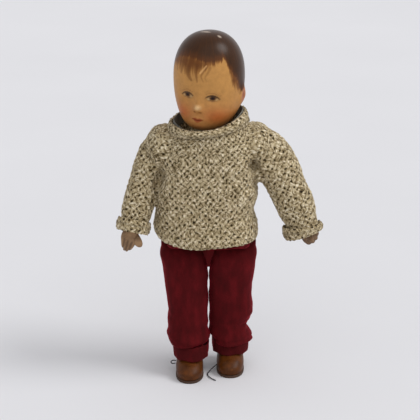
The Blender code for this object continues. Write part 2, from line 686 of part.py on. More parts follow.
def make_torso():
    rings = [level_ring(0, 0, z, (a, b), power, TORSO_SIDES)
             for z, a, b, power in along_stations(torso_stations(), 2)]
    torso = add_object("torso", loft_mesh("torso", rings), "muslin", ROOT)
    for side, sign in SIDES.items():
        inner = arm_root() - RUNNING_GAP / 2 - DISC_THICKNESS - LAYER_GAP
        depth = sleeve_plane()
        name = "shoulder_pocket_" + side
        mesh = cylinder_mesh(name, SHOULDER_DISC_RADIUS + LAYER_GAP, depth, 20, "X")
        place = (sign * (inner + depth / 2), 0, SHOULDER_HEIGHT)
        add_cut(torso, add_cutter(name, mesh, place, ROOT))
    add_cut(torso, SHOULDER_BORE)
    slot_size = (TAB_THICKNESS + LAYER_GAP, 2 * (TAB_RADIUS + LAYER_GAP), 2 * (TAB_ROOT + LAYER_GAP))
    add_cut(torso, add_cutter("tab_slot", box_mesh("tab_slot", slot_size), (0, 0, TORSO_BOTTOM), ROOT))
    add_cut(torso, NECK_BORE)


def shell_round_torso(name, heights, extra, cloth, finish):
    """A tube of cloth round the torso; extra(height) is how far its outside stands off."""
    rings = []
    for height in heights:
        half_width, half_depth, power = torso_half(height)
        off = extra(height)
        rings.append(level_ring(0, 0, height, (half_width + off, half_depth + off), power, TORSO_SIDES))
    made = add_object(name, loft_mesh(name, rings, capped=(False, False)), finish, ROOT)
    add_solidify(made, cloth)


def seat_off(height):
    """How far the outside of the trousers' seat stands off the torso."""
    return SEAT_WALL + SEAT_FLARE * (1 - ease((height - TORSO_BOTTOM) / SEAT_HEIGHT))


def make_seat():
    """The top of the trousers, from above the legs to the waistband."""
    waist = TORSO_BOTTOM + SEAT_HEIGHT
    heights = [mix(TORSO_BOTTOM, waist, step / 4) for step in range(5)]
    shell_round_torso("trousers_seat", heights, seat_off, TROUSER_CLOTH, "red_velveteen")
    heights = [waist + LAYER_GAP + WAISTBAND_HEIGHT * share for share in (0, 0.5, 1)]
    shell_round_torso("waistband", heights, lambda height: SEAT_WALL, TROUSER_CLOTH, "red_velveteen")


def make_shirt():
    bottom = TORSO_BOTTOM + SHIRT_TAIL
    top = SHOULDER_HEIGHT - ARM_ROOT_RADIUS - 2 * RUNNING_GAP
    heights = [mix(bottom, top, step / 5) for step in range(6)]
    shell_round_torso("shirt_body", heights, lambda height: SHIRT_WALL, SHIRT_CLOTH, "shirt_cotton")
    mesh = band_mesh("shirt_collar", SHIRT_COLLAR_RADIUS, SHIRT_COLLAR_CLOTH, COLLAR_BASE + SHIRT_COLLAR_SHOW,
                     SHIRT_COLLAR_HEIGHT, SHIRT_COLLAR_DROP)
    add_object("shirt_collar", mesh, "shirt_cotton", ROOT)


def collar_lift(angle, drop):
    """How far a collar stands off its height at the sides: lower in front, higher behind."""
    s = sin(angle)
    return (COLLAR_BACK if s > 0 else -drop) * s * s + COLLAR_LEAN * cos(angle)


def band_mesh(name, inside, cloth, base, height, drop, roll=0.0):
    """A standing band round the neck. roll rounds its outside."""
    profile = [(0, 0), (0, 0.5), (0, 1), (0.5, 1.06), (1, 0.94), (1 + roll, 0.5), (1 + roll * 0.8, 0.1),
               (0.5, -0.04)]
    rings = []
    for step in range(COLLAR_SIDES):
        angle = tau * step / COLLAR_SIDES
        out = Vector((cos(angle), sin(angle), 0))
        foot = base + collar_lift(angle, drop)
        rings.append([out * (inside + cloth * share) + Vector((0, 0, foot + height * level))
                      for share, level in profile])
    return loft_mesh(name, rings, loop=True)


# Shoulder hardware

def make_shoulder_joint(side, pivot):
    sign = SIDES[side]
    shoulder = Vector((0, 0, SHOULDER_HEIGHT))
    off = RUNNING_GAP / 2 + DISC_THICKNESS / 2
    for name, place, parent in (
        ("shoulder_disc_" + side, shoulder + Vector((sign * (arm_root() - off), 0, 0)), ROOT),
        ("arm_disc_" + side, Vector((sign * (arm_root() + off), 0, 0)), pivot),
    ):
        add_disc(name, SHOULDER_DISC_RADIUS, DISC_THICKNESS, "X", place, SHOULDER_BORE, parent)
    add_pin("shoulder_pin_" + side, 2 * SHOULDER_PIN_REACH, "X", shoulder + Vector((sign * arm_root(), 0, 0)))


# Arms and sleeves

def arm_direction(side):
    """The way an arm hangs below its bend."""
    splay, forward = radians(ARM_SPLAY[side]), radians(ARM_FORWARD[side])
    return Vector((SIDES[side] * sin(splay), -sin(forward), -cos(splay) * cos(forward))).normalized()


def arm_bend(side):
    """Radius of the turn from the shoulder into the arm, round the crease of the armpit."""
    return sleeve_under(side) + ARMPIT_RADIUS


def arm_turn(side):
    return acos(Vector((SIDES[side], 0, 0)).dot(arm_direction(side)))


def wrist_travel(side):
    return arm_bend(side) * arm_turn(side) + ARM_STRAIGHT[side]


def arm_frame(side, travel):
    """Middle, heading and two cross directions of an arm, travel being counted along it from the
    sleeve's plane: straight along X before it, round the bend after it, then straight to the wrist,
    where the hand turns out."""
    sign, bend, turn = SIDES[side], arm_bend(side), arm_turn(side)
    out, down = Vector((sign, 0, 0)), arm_direction(side)
    start = Vector((sign * sleeve_plane(), 0, SHOULDER_HEIGHT))
    inward = (down - out * out.dot(down)).normalized()
    angle = min(max(travel / bend, 0), turn)
    heading = out * cos(angle) + inward * sin(angle)
    upward = out * sin(angle) - inward * cos(angle)
    middle = start + out * (bend * sin(angle)) + inward * (bend * (1 - cos(angle)))
    past_wrist = max(travel - wrist_travel(side), 0)
    middle += heading * (min(travel, 0) + max(travel - bend * turn, 0) - past_wrist)
    if past_wrist:
        turned = radians(HAND_TURN[side])
        heading, upward = (heading * cos(turned) + upward * sin(turned),
                           upward * cos(turned) - heading * sin(turned))
        middle += heading * past_wrist
    return middle, heading, upward, heading.cross(upward)


def arm_ring(side, travel, half_up, half_side, count=LIMB_SIDES):
    middle, _, upward, sideways = arm_frame(side, travel)
    return ring(middle, upward, sideways, half_up, half_side, 2, count)


def hand_stations(side):
    """Travel, half width and half thickness of the mitten hand, from the wrist."""
    wrist = wrist_travel(side)
    stations = [
        (wrist, WRIST_RADIUS, WRIST_RADIUS * 0.9),
        (wrist + 0.4 * HAND_LENGTH, *PALM_HALF),
        (wrist + 0.8 * HAND_LENGTH, PALM_HALF[0] * 0.82, PALM_HALF[1] * 0.8),
        (wrist + HAND_LENGTH, PALM_HALF[0] * 0.35, PALM_HALF[1] * 0.35),
    ]
    return along_stations(stations, 2)


def make_arm(side, pivot):
    sign, wrist = SIDES[side], wrist_travel(side)
    root = RUNNING_GAP / 2 - SLEEVE_SEAM
    stations = [
        (root, ARM_ROOT_RADIUS, ARM_ROOT_RADIUS),
        (0.3 * wrist, ARM_ROOT_RADIUS, ARM_ROOT_RADIUS),
        (0.65 * wrist, ELBOW_RADIUS, ELBOW_RADIUS),
    ]
    rings = [arm_ring(side, *row) for row in along_stations(stations, 4)]
    rings += [arm_ring(side, *row) for row in hand_stations(side)]
    arm = add_object("arm_" + side, loft_mesh("arm_" + side, on_pivot(rings, pivot)), "hand_cloth", pivot)
    depth = DISC_THICKNESS + RUNNING_GAP + LAYER_GAP
    pocket = cylinder_mesh("arm_pocket_" + side, SHOULDER_DISC_RADIUS + LAYER_GAP, depth, 20, "X")
    place = (sign * (arm_root() + depth / 2), 0, 0)
    add_cut(arm, add_cutter("arm_pocket_" + side, pocket, place, pivot))
    bore = cylinder_mesh("arm_bore_" + side, HOLE_RADIUS, 2 * (SHOULDER_PIN_REACH + LAYER_GAP), 12, "X")
    add_cut(arm, add_cutter("arm_bore_" + side, bore, (sign * arm_root(), 0, 0), pivot))


def make_thumb(side, pivot):
    """A small stuffed thumb sewn to the palm's inner edge, cut off at the palm."""
    middle, heading, upward, sideways = arm_frame(side, wrist_travel(side) + 0.25 * HAND_LENGTH)
    turned = radians(THUMB_TURN[side])
    out = sideways * SIDES[side] * sin(turned) - upward * cos(turned)
    start = middle + out * (mix(*PALM_HALF, sin(turned)) - THUMB_RADIUS)
    lean = (heading + out * 0.8).normalized()
    across = lean.cross(out).normalized()
    level = lean.cross(across)
    rings = []
    for share, size in ((0.0, 0.9), (0.35, 1.0), (0.65, 0.95), (0.88, 0.7), (1.0, 0.3)):
        place = start + lean * ((THUMB_LENGTH + THUMB_RADIUS) * share)
        rings.append(ring(place, across, level, THUMB_RADIUS * size, THUMB_RADIUS * size, 2, 12))
    name = "thumb_" + side
    thumb = add_object(name, loft_mesh(name, on_pivot(rings, pivot)), "hand_cloth", pivot)
    palm = [arm_ring(side, travel, half_up + LAYER_GAP, half_side + LAYER_GAP)
            for travel, half_up, half_side in hand_stations(side)]
    name = "palm_" + side
    add_cut(thumb, add_cutter(name, loft_mesh(name, on_pivot(palm, pivot)), (0, 0, 0), pivot))


def sleeve_under(side):
    """Outside of the sleeve below the shoulder pin, at its root."""
    return ARM_ROOT_RADIUS + SLEEVE_UNDER_EASE[side] + KNIT


def sleeve_wrist(side):
    """Outside of the sleeve where its cuff covers it."""
    return WRIST_RADIUS + SLEEVE_WRIST_EASE[side] + KNIT


def sleeve_radius(side, travel):
    """Outside of the knitted sleeve along the arm, to its front and back."""
    wrist = wrist_travel(side)
    elbow = ELBOW_RADIUS + SLEEVE_ELBOW_EASE[side] + KNIT
    radius = mix(max(sleeve_under(side), elbow), elbow, ease(travel / (0.45 * wrist)))
    drawn = ease((travel - wrist + 2.2 * CUFF_HEIGHT) / (1.2 * CUFF_HEIGHT))
    return mix(radius, sleeve_wrist(side), drawn)


def sleeve_ring(side, travel):
    """A sleeve's section: full over the shoulder, drawn in under the arm, round further down."""
    middle, _, upward, sideways = arm_frame(side, travel)
    radius = sleeve_radius(side, travel)
    at_root = 1 - ease(travel / (0.6 * wrist_travel(side)))
    over = 1 - ease(travel / SLEEVE_TOP_REACH[side])
    top = mix(radius, ARM_ROOT_RADIUS + SLEEVE_TOP_EASE[side] + KNIT, over)
    under = mix(radius, min(radius, sleeve_under(side)), at_root)
    points = ring(middle, upward, sideways, radius, radius, 2, SLEEVE_SIDES)
    for point in points:
        lift = (point - middle).dot(upward)
        point += upward * lift * ((top if lift > 0 else under) / radius - 1)
    return points


def make_sleeve(side, pivot):
    steps = 9
    rings = [sleeve_ring(side, mix(RUNNING_GAP / 2, wrist_travel(side), step / steps))
             for step in range(steps + 1)]
    mesh = loft_mesh("sleeve_" + side, on_pivot(rings, pivot), capped=(False, False))
    add_solidify(add_object("sleeve_" + side, mesh, "tweed_knit", pivot), KNIT)


def make_cuff(side, pivot):
    """The end of the sleeve, turned back on itself."""
    rings = []
    for share, roll in ((1.04, 0.0), (0.85, 0.8), (0.5, 1.0), (0.15, 0.8), (0.0, 0.1)):
        travel = wrist_travel(side) - CUFF_HEIGHT * (1 - share)
        reach = sleeve_wrist(side) + CUFF_EASE + KNIT + CUFF_ROLL * roll
        middle, _, upward, sideways = arm_frame(side, min(travel, wrist_travel(side)))
        rings.append(ring(middle, upward, sideways, reach, reach, 2, SLEEVE_SIDES))
    mesh = loft_mesh("sleeve_cuff_" + side, on_pivot(rings, pivot), capped=(False, False))
    add_solidify(add_object("sleeve_cuff_" + side, mesh, "tweed_knit", pivot), KNIT)


# Sweater body and collar

def sweater_stations():
    """Height, half width, half depth, squareness and share of the collar's slope, from the hem."""
    hem = TORSO_BOTTOM + HEM_LIFT
    seat = [half + seat_off(TORSO_BOTTOM) for half in torso_half(TORSO_BOTTOM)[:2]]
    waist = [half + SEAT_WALL for half in torso_half(hem + WAIST_LIFT)[:2]]
    chest_depth = torso_half(SHOULDER_HEIGHT)[1] + SHIRT_WALL + SWEATER_CHEST_DEPTH + KNIT
    chest = (sleeve_plane() - RUNNING_GAP / 2, max(chest_depth, waist[1] + SWEATER_WAIST_EASE[1] + KNIT))
    neck = COLLAR_RADIUS + COLLAR_KNIT * 0.6
    return [
        (hem, *[half + SWEATER_HEM_EASE + KNIT for half in seat], 2.3, 0.0),
        (hem + WAIST_LIFT, *[half + more + KNIT for half, more in zip(waist, SWEATER_WAIST_EASE)], 2.5, 0.0),
        (SHOULDER_HEIGHT, *chest, 4.0, 0.0),
        (mix(SHOULDER_HEIGHT, COLLAR_BASE, 0.86), chest[0] * 0.985, chest[1] * 0.96, 3.0, 0.6),
        (COLLAR_BASE - 2 * LAYER_GAP, neck, neck, 2.0, 1.0),
    ]


def make_sweater():
    hem = TORSO_BOTTOM + HEM_LIFT
    rings = []
    for height, half_width, half_depth, power, slope in along_stations(sweater_stations(), 3):
        points = level_ring(0, 0, height, (half_width, half_depth), power, COLLAR_SIDES,
                            hem_swell(height - hem))
        for step, point in enumerate(points):
            point.z += slope * collar_lift(tau * step / COLLAR_SIDES, COLLAR_DROP)
        rings.append(points)
    body = add_object("sweater_body", loft_mesh("sweater_body", rings, capped=(False, False)),
                      "tweed_knit", ROOT)
    add_solidify(body, KNIT)
    mesh = cylinder_mesh("armholes", ARM_ROOT_RADIUS + ARMHOLE_EASE, 4 * sleeve_plane(), 24, "X")
    add_cut(body, add_cutter("armholes", mesh, (0, 0, SHOULDER_HEIGHT), ROOT))
    mesh = band_mesh("sweater_collar", COLLAR_RADIUS, COLLAR_KNIT, COLLAR_BASE, COLLAR_HEIGHT, COLLAR_DROP,
                     roll=0.35)
    add_object("sweater_collar", mesh, "tweed_knit", ROOT)


def hem_swell(rise):
    """Slack waves round the hem that fade out above it."""
    fade = exp(-((rise / (0.8 * WAIST_LIFT)) ** 2))
    return lambda angle: -HEM_WAVE * fade * (0.5 + 0.5 * cos(5 * angle + 0.6))


# Head

def roundness(level, power):
    """Girth at a level from -1 to 1: 2 gives a ball, more gives fuller ends."""
    return (1 - abs(level) ** power) ** (1 / power)


def face_relief(across, height):
    """How far the face stands out of the plain egg, at a place seen from the front."""
    total = 0
    for place, level, reach_across, reach_up, depth in FACE_RELIEF.values():
        total += depth * exp(-(((abs(across) / MM - place) / reach_across) ** 2)
                             - ((height / MM - level) / reach_up) ** 2)
    return total * MM


def head_point(turn, level):
    """A point of the head's surface. level runs from -1 at the chin to 1 at the crown; turn is the
    angle round the head, 0 at the middle of the face and half a turn at the back."""
    height = level * (HEAD_CROWN if level > 0 else HEAD_CHIN)
    girth = roundness(level, 2.3)
    jaw = ease(-level)
    width = HEAD_HALF_WIDTH * (roundness(level, 3) if level < 0 else girth) * (1 - 0.10 * jaw)
    front = HEAD_FRONT * (roundness(level, 4.5) if level < 0 else girth) * (1 - 0.05 * jaw)
    back = HEAD_BACK * girth * (1 - 0.24 * jaw)
    x = width * sin(turn)
    y = -(front if cos(turn) > 0 else back) * cos(turn)
    facing = max(0.0, cos(turn)) ** 0.5 * girth ** 0.3
    ear = EAR_DEPTH * exp(-((y / MM - 5) / 4.5) ** 2 - ((height / MM + 14) / 7.5) ** 2)
    outward = round(sin(turn))
    return Vector((x + ear * outward, y - face_relief(x, height) * facing + HEAD_SET_BACK, height))


def make_head(swivel):
    levels = 18
    rings = []
    for level in range(1, levels):
        share = -cos(pi * level / levels)
        rings.append([head_point(turn_at(step), share) for step in range(HEAD_SIDES)])
    head = add_object("head_shell", loft_mesh("head_shell", rings), "painted_cloth", swivel)
    head.location.z = HEAD_CENTRE - NECK_TOP
    head.rotation_euler.z = radians(HEAD_TURN)
    disc_middle = HEAD_DISC_BOTTOM + DISC_THICKNESS / 2 - NECK_TOP
    disc_room = DISC_THICKNESS + 2 * LAYER_GAP
    opening_top = HEAD_DISC_BOTTOM - NECK_TOP
    for name, mesh, height in (
        ("head_hollow", inner_head("head_hollow", HEAD_WALL), head.location.z),
        ("disc_room", cylinder_mesh("disc_room", NECK_DISC_RADIUS + LAYER_GAP, disc_room, 24, "Z"),
         disc_middle),
        ("neck_opening", cylinder_mesh("neck_opening", NECK_RADIUS + RUNNING_GAP, 2 * HEAD_CHIN, 24, "Z"),
         opening_top - HEAD_CHIN),
    ):
        add_cut(head, add_cutter(name, mesh, (0, 0, height), swivel))
    stuffing = add_object("head_stuffing", inner_head("head_stuffing", HEAD_WALL + LAYER_GAP), "wadding",
                          swivel)
    stuffing.location = head.location
    floor = box_mesh("stuffing_floor", (4 * HEAD_BACK, 4 * HEAD_BACK, 2 * HEAD_CHIN))
    floor_top = disc_middle + DISC_THICKNESS / 2 + LAYER_GAP
    add_cut(stuffing, add_cutter("stuffing_floor", floor, (0, 0, floor_top - HEAD_CHIN), swivel))
    add_cut(stuffing, NECK_BORE)
    add_disc("head_disc", NECK_DISC_RADIUS, DISC_THICKNESS, "Z", (0, 0, disc_middle), NECK_BORE, swivel)


def turn_at(step):
    """Angles round the head, closer together on the face."""
    turn = tau * step / HEAD_SIDES
    return turn - 0.42 * sin(turn)


def inner_head(name, wall):
    """The head's inside: a plain egg that keeps the wall's thickness."""
    rings = []
    count, levels = 16, 10
    for level in range(1, levels):
        share = -cos(pi * level / levels)
        height = share * ((HEAD_CROWN if share > 0 else HEAD_CHIN) - wall)
        girth = sqrt(1 - share * share)
        jaw = 1 - 0.16 * ease(-share)
        reach = (min(HEAD_HALF_WIDTH, HEAD_FRONT) - 1.4 * wall) * girth * jaw
        rings.append(level_ring(0, 0, height, (reach, reach), 2, count))
    return loft_mesh(name, rings)


def make_neck_joint():
    thickness = DISC_THICKNESS - LAYER_GAP
    place = (0, 0, NECK_TOP + LAYER_GAP + thickness / 2)
    add_disc("neck_disc", NECK_RADIUS, thickness, "Z", place, NECK_BORE, ROOT)
    add_pin("neck_pin", 2 * NECK_PIN_REACH, "Z", (0, 0, NECK_TOP))


# Laces

def smooth_route(points, steps):
    """A curve through the points (Catmull-Rom)."""
    ends = [points[0] * 2 - points[1], *points, points[-1] * 2 - points[-2]]
    route = []
    for a, b, c, d in zip(ends, ends[1:], ends[2:], ends[3:]):
        for step in range(steps):
            t = step / steps
            route.append(0.5 * (2 * b + (c - a) * t + (2 * a - 5 * b + 4 * c - d) * t * t
                                + (3 * b - a - 3 * c + d) * t ** 3))
    return [*route, points[-1]]


def make_lace(side, pivot):
    ankle = leg_axis(side, 0)
    chosen = [Vector(point) * MM + ankle - pivot.location for point in LACE_ROUTES[side]]
    curve = bpy.data.curves.new("lace_" + side, "CURVE")
    curve.dimensions = "3D"
    curve.bevel_depth = LACE_DIAMETER / 2
    curve.bevel_resolution = 2
    curve.use_fill_caps = True
    route = smooth_route(chosen, 3)
    spline = curve.splines.new("POLY")
    spline.points.add(len(route) - 1)
    for point, place in zip(spline.points, route):
        point.co = (*place, 1)
    add_object("lace_" + side, curve, "lace_cotton", pivot)


# The whole doll

def centre_on_footprint():
    """Moves the doll so that the origin is under the middle of its box, the laces left out."""
    bpy.context.view_layer.update()
    graph = bpy.context.evaluated_depsgraph_get()
    corners = []
    for made in DOLL.objects:
        if made.type == "MESH":
            shape = made.evaluated_get(graph)
            corners += [shape.matrix_world @ Vector(corner) for corner in shape.bound_box]
    for axis in (0, 1):
        low = min(corner[axis] for corner in corners)
        high = max(corner[axis] for corner in corners)
        ROOT.location[axis] = -(low + high) / 2
    bpy.context.view_layer.update()
    print("doll's middle plane and hip pin at", [round(value, 5) for value in ROOT.location])


clear_scene()
DOLL = new_collection("cloth_doll")
CUTTERS = new_collection("cutters")
ROOT = add_empty("doll", (0, 0, 0))
HIP_BORE, HIP_OPENING, HIP_POCKETS = make_hip_cutters()
SHOULDER_BORE = add_cutter(
    "shoulder_bore",
    cylinder_mesh("shoulder_bore", HOLE_RADIUS, 2 * (arm_root() + SHOULDER_PIN_REACH + LAYER_GAP), 16, "X"),
    (0, 0, SHOULDER_HEIGHT), ROOT)
NECK_BORE = add_cutter(
    "neck_bore", cylinder_mesh("neck_bore", HOLE_RADIUS, 2 * (NECK_PIN_REACH + LAYER_GAP), 16, "Z"),
    (0, 0, NECK_TOP), ROOT)

make_torso()
make_hip_joint()
make_neck_joint()
make_seat()
make_shirt()
make_sweater()
make_head(add_empty("neck_swivel", (0, 0, NECK_TOP), ROOT))
for each_side in SIDES:
    shoulder_pivot = add_empty("shoulder_pivot_" + each_side, (0, 0, SHOULDER_HEIGHT), ROOT)
    make_shoulder_joint(each_side, shoulder_pivot)
    make_arm(each_side, shoulder_pivot)
    make_thumb(each_side, shoulder_pivot)
    make_sleeve(each_side, shoulder_pivot)
    make_cuff(each_side, shoulder_pivot)
    hip_pivot = add_empty("hip_pivot_" + each_side, (0, 0, HIP_HEIGHT), ROOT)
    make_leg(each_side, hip_pivot)
    make_sock(each_side, hip_pivot)
    make_shoe(each_side, hip_pivot)
    make_trouser_leg(each_side, hip_pivot)
    make_turn_up(each_side, hip_pivot)
    make_lace(each_side, hip_pivot)
centre_on_footprint()
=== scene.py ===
# %% [markdown]
# # A dressed cloth doll
#
# The real doll is about 35 cm tall: a painted cloth head on a stuffed body, in a coarse tweed pullover,
# dark red velveteen trousers and small leather shoes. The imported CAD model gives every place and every
# joint. This lesson puts the surfaces on it: knitted stitches, brushed paint, nap, leather grain.

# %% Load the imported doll
import json
from math import cos, inf, pi, radians, sin, tau

import bpy
import numpy as np
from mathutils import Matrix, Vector
from mathutils.bvhtree import BVHTree


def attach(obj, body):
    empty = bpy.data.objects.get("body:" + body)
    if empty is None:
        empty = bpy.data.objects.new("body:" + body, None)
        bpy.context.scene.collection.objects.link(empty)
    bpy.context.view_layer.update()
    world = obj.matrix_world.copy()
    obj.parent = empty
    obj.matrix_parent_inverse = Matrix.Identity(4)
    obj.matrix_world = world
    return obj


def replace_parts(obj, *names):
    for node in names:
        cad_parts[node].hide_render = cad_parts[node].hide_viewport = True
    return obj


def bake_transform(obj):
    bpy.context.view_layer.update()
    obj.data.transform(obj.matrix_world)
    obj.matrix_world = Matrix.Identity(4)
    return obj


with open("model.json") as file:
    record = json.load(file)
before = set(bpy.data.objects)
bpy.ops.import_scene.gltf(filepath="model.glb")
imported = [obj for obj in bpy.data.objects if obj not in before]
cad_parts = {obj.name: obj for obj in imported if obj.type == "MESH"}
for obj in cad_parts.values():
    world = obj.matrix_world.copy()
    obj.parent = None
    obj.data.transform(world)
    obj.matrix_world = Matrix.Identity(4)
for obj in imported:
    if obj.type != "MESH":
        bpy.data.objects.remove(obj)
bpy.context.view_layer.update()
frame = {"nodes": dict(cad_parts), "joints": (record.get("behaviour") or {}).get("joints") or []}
MM = 0.001
X, Y, Z = np.eye(3)
SIDES = {"right": -1, "left": 1}
JOINT = {joint["name"]: np.array(joint["pos_m"]) / MM for joint in frame["joints"]}
MIDDLE = JOINT["neck_swivel"] * (1, 1, 0)  # where the doll's middle line meets the floor

# %% [markdown]
# ## Camera
#
# The photograph was taken from a little above, with a long lens. A camera that was fitted to the picture
# gives its place and its focal length in pixels, and the picture is 420 pixels wide.

# %% Camera
IMAGE_WIDTH = 420
FOCAL_PIXELS = 1500
SENSOR_WIDTH = 36
EYE = np.array((-7.96, -1429.2, 622.0))
LOOK_AT = np.array((-7.96, -1.2, 169.3))

camera = bpy.data.objects.new("camera", bpy.data.cameras.new("camera"))
bpy.context.collection.objects.link(camera)
camera.data.sensor_width = SENSOR_WIDTH
camera.data.lens = SENSOR_WIDTH * FOCAL_PIXELS / IMAGE_WIDTH
camera.location = Vector(EYE * MM)
camera.rotation_euler = Vector(LOOK_AT - EYE).to_track_quat("-Z", "Y").to_euler()
bpy.context.scene.camera = camera
print("camera lens", round(camera.data.lens, 1), "mm")

# %% [markdown]
# ## Tools for materials
#
# A colour is written as it looks on a screen, in sRGB hex, and one function turns it into the linear
# numbers that the renderer needs. One more function adds a node: what it is, its settings, and what goes
# into its sockets, which is either a value or another node's output. The short functions after it add the
# nodes that most materials need. Sizes of patterns are in millimetres.

# %% Colours and nodes
def colour(code):
    """The linear RGBA of an sRGB hex code."""
    shares = [int(code[place:place + 2], 16) / 255 for place in (1, 3, 5)]
    return (*[c / 12.92 if c <= 0.04045 else ((c + 0.055) / 1.055) ** 2.4 for c in shares], 1.0)


def add(tree, kind, inputs=(), stops=(), **settings):
    """Adds a shader node. stops are the places and colours of a colour ramp."""
    made = tree.nodes.new("ShaderNode" + kind)
    for name, value in settings.items():
        setattr(made, name, value)
    for name, value in dict(inputs).items():
        if isinstance(value, bpy.types.NodeSocket):
            tree.links.new(value, made.inputs[name])
        else:
            made.inputs[name].default_value = value
    for step, (place, tint) in enumerate(stops):
        ramp = made.color_ramp.elements
        stop = ramp[step] if step < 2 else ramp.new(place)
        stop.position, stop.color = place, tint
    return made


def start_material(name, **sockets):
    """A new material with its Principled shader's constant sockets set, and its tree."""
    made = bpy.data.materials.new(name)
    made.use_nodes = True
    shader = made.node_tree.nodes["Principled BSDF"]
    for socket, value in sockets.items():
        shader.inputs[socket.replace("_", " ")].default_value = value
    return made, made.node_tree, shader


def connect(tree, shader, **sockets):
    """Links other nodes' outputs to a shader's sockets."""
    for socket, output in sockets.items():
        tree.links.new(output, shader.inputs[socket.replace("_", " ")])


def kept(tree, name, output="Fac"):
    """A value that a piece keeps on its points; 0 where it keeps none."""
    return add(tree, "Attribute", attribute_name=name).outputs[output]


def rest_place(tree):
    """Each point's place in millimetres before any joint moves, so that a pattern stays on its cloth."""
    return kept(tree, "rest", "Vector")


def object_place(tree):
    return add(tree, "TexCoord").outputs["Object"]


def stretched(tree, place, size):
    """Places counted in steps of a size of its own along each axis."""
    return add(tree, "Mapping", {"Vector": place, "Scale": [1 / step for step in size]}).outputs[0]


def noise(tree, place, size, detail, **more):
    inputs = {"Vector": place, "Scale": 1 / size, "Detail": detail, **more}
    return add(tree, "TexNoise", inputs).outputs["Fac"]


def calculate(tree, operation, *values):
    return add(tree, "Math", dict(enumerate(values)), operation=operation).outputs[0]


def between(tree, value, low, high, to_low=0.0, to_high=1.0):
    """Turns the range from low to high into another range."""
    ends = {"From Min": low, "From Max": high, "To Min": to_low, "To Max": to_high}
    return add(tree, "MapRange", {"Value": value, **ends}).outputs[0]


def tinted(tree, share, *stops):
    """A colour that changes with a share: the first stop, the last one, then those between."""
    return add(tree, "ValToRGB", {"Fac": share}, [(at, colour(code)) for at, code in stops]).outputs["Color"]


def bumps(tree, height, strength, depth):
    """A normal that follows a height, which stands for so many millimetres."""
    inputs = {"Height": height, "Strength": strength, "Distance": depth * MM}
    return add(tree, "Bump", inputs).outputs["Normal"]


print("black is", colour("#000000")[:3], "and white is", colour("#ffffff")[:3])

# %% [markdown]
# ## Tools for meshes
#
# Most of the doll is tubes and shells. A skin is read off a CAD node by shooting rays at it from outside,
# ring by ring, and the flats of the CAD facets are then smoothed away. So each soft piece sits where its
# CAD solid sits. Faces are kept as rows of four point numbers; a triangle repeats its last one.

# %% Skins and pieces
def ease(t):
    """A soft step from 0 to 1."""
    t = np.clip(t, 0, 1)
    return t * t * (3 - 2 * t)


def mix(a, b, t):
    return a + (b - a) * t


def read_off(table, at, **ends):
    """A value read off a table of pairs, with straight lines between them."""
    return np.interp(at, *np.array(table).T, **ends)


def full_turn(sides):
    """The angles of a full turn in equal steps."""
    return np.arange(sides) * tau / sides


def spun(points, angle, first, second):
    """Points turned from one axis towards another; the axes are numbered 0 to 2."""
    made = points.copy()
    made[..., first] = points[..., first] * cos(angle) - points[..., second] * sin(angle)
    made[..., second] = points[..., first] * sin(angle) + points[..., second] * cos(angle)
    return made


def cad_tree(node):
    """A CAD node's surface, ready for rays."""
    mesh = frame["nodes"][node].data
    return BVHTree.FromPolygons([v.co for v in mesh.vertices], [p.vertices for p in mesh.polygons])


def spokes_of(sides, across, along):
    turns = full_turn(sides)
    return np.outer(np.cos(turns), across) + np.outer(np.sin(turns), along)


def hit_distance(tree, middle, spoke, start, way):
    """How far along a spoke a ray meets a surface, or NaN."""
    hit = tree.ray_cast(Vector(start * MM), Vector(way))[0]
    return np.nan if hit is None else (np.array(hit) / MM - middle) @ spoke


def fill_ring(values):
    """Fills the gaps in a ring of distances, where rays met nothing, from their neighbours."""
    known = ~np.isnan(values)
    places = np.arange(len(values))
    return np.interp(places, places[known], values[known], period=len(values))


def skin(node, middles, sides, across=X, along=Y, reach=80):
    """Rings of a CAD node's outermost points round a line of middles, all in millimetres."""
    tree, rings = cad_tree(node), []
    ways = [np.broadcast_to(way, np.shape(middles)) for way in (across, along)]
    for middle, first, second in zip(middles, *ways):
        spokes = spokes_of(sides, first, second)
        far = np.array([hit_distance(tree, middle, way, middle + way * reach, -way) for way in spokes])
        far[~(far > 1)] = np.nan
        rings.append(middle + spokes * fill_ring(far)[:, None])
    return np.array(rings)


def soften(rings, around=0, along=0):
    """Rubs out facets round the rings and along them."""
    for _ in range(around):
        rings = (np.roll(rings, 1, 1) + 2 * rings + np.roll(rings, -1, 1)) / 4
    for _ in range(along):
        rings = np.concatenate([rings[:1], (rings[:-2] + 2 * rings[1:-1] + rings[2:]) / 4, rings[-1:]])
    return rings


def loft(rings, loop=False, caps=(False, False)):
    """Points and faces of a tube through rings. A loop joins its ends; a cap closes an end."""
    rows, sides = rings.shape[:2]
    points = rings.reshape(-1, 3)
    low = np.arange(rows if loop else rows - 1)[:, None] * sides
    here, there = np.arange(sides)[None], (np.arange(sides)[None] + 1) % sides
    high = (low + sides) % (rows * sides)
    faces = [np.stack([low + here, low + there, high + there, high + here], -1).reshape(-1, 4)]
    here, there = here[0], there[0]
    for wanted, row, turned in ((caps[0], 0, True), (caps[1], rows - 1, False)):
        if wanted:
            middle = np.full(sides, len(points))
            points = np.vstack([points, rings[row].mean(0)])
            first, second = (there, here) if turned else (here, there)
            faces.append(np.stack([first + row * sides, second + row * sides, middle, middle], -1))
    return points, np.vstack(faces)


def normals_of(points, faces):
    """Each point's direction straight out of the surface."""
    corners = points[faces]
    face_normals = np.cross(corners[:, 2] - corners[:, 0], corners[:, 3] - corners[:, 1])
    total = np.zeros_like(points)
    for corner in range(4):
        for axis in range(3):
            total[:, axis] += np.bincount(faces[:, corner], face_normals[:, axis], len(points))
    return total / np.maximum(np.linalg.norm(total, axis=1, keepdims=True), 1e-9)


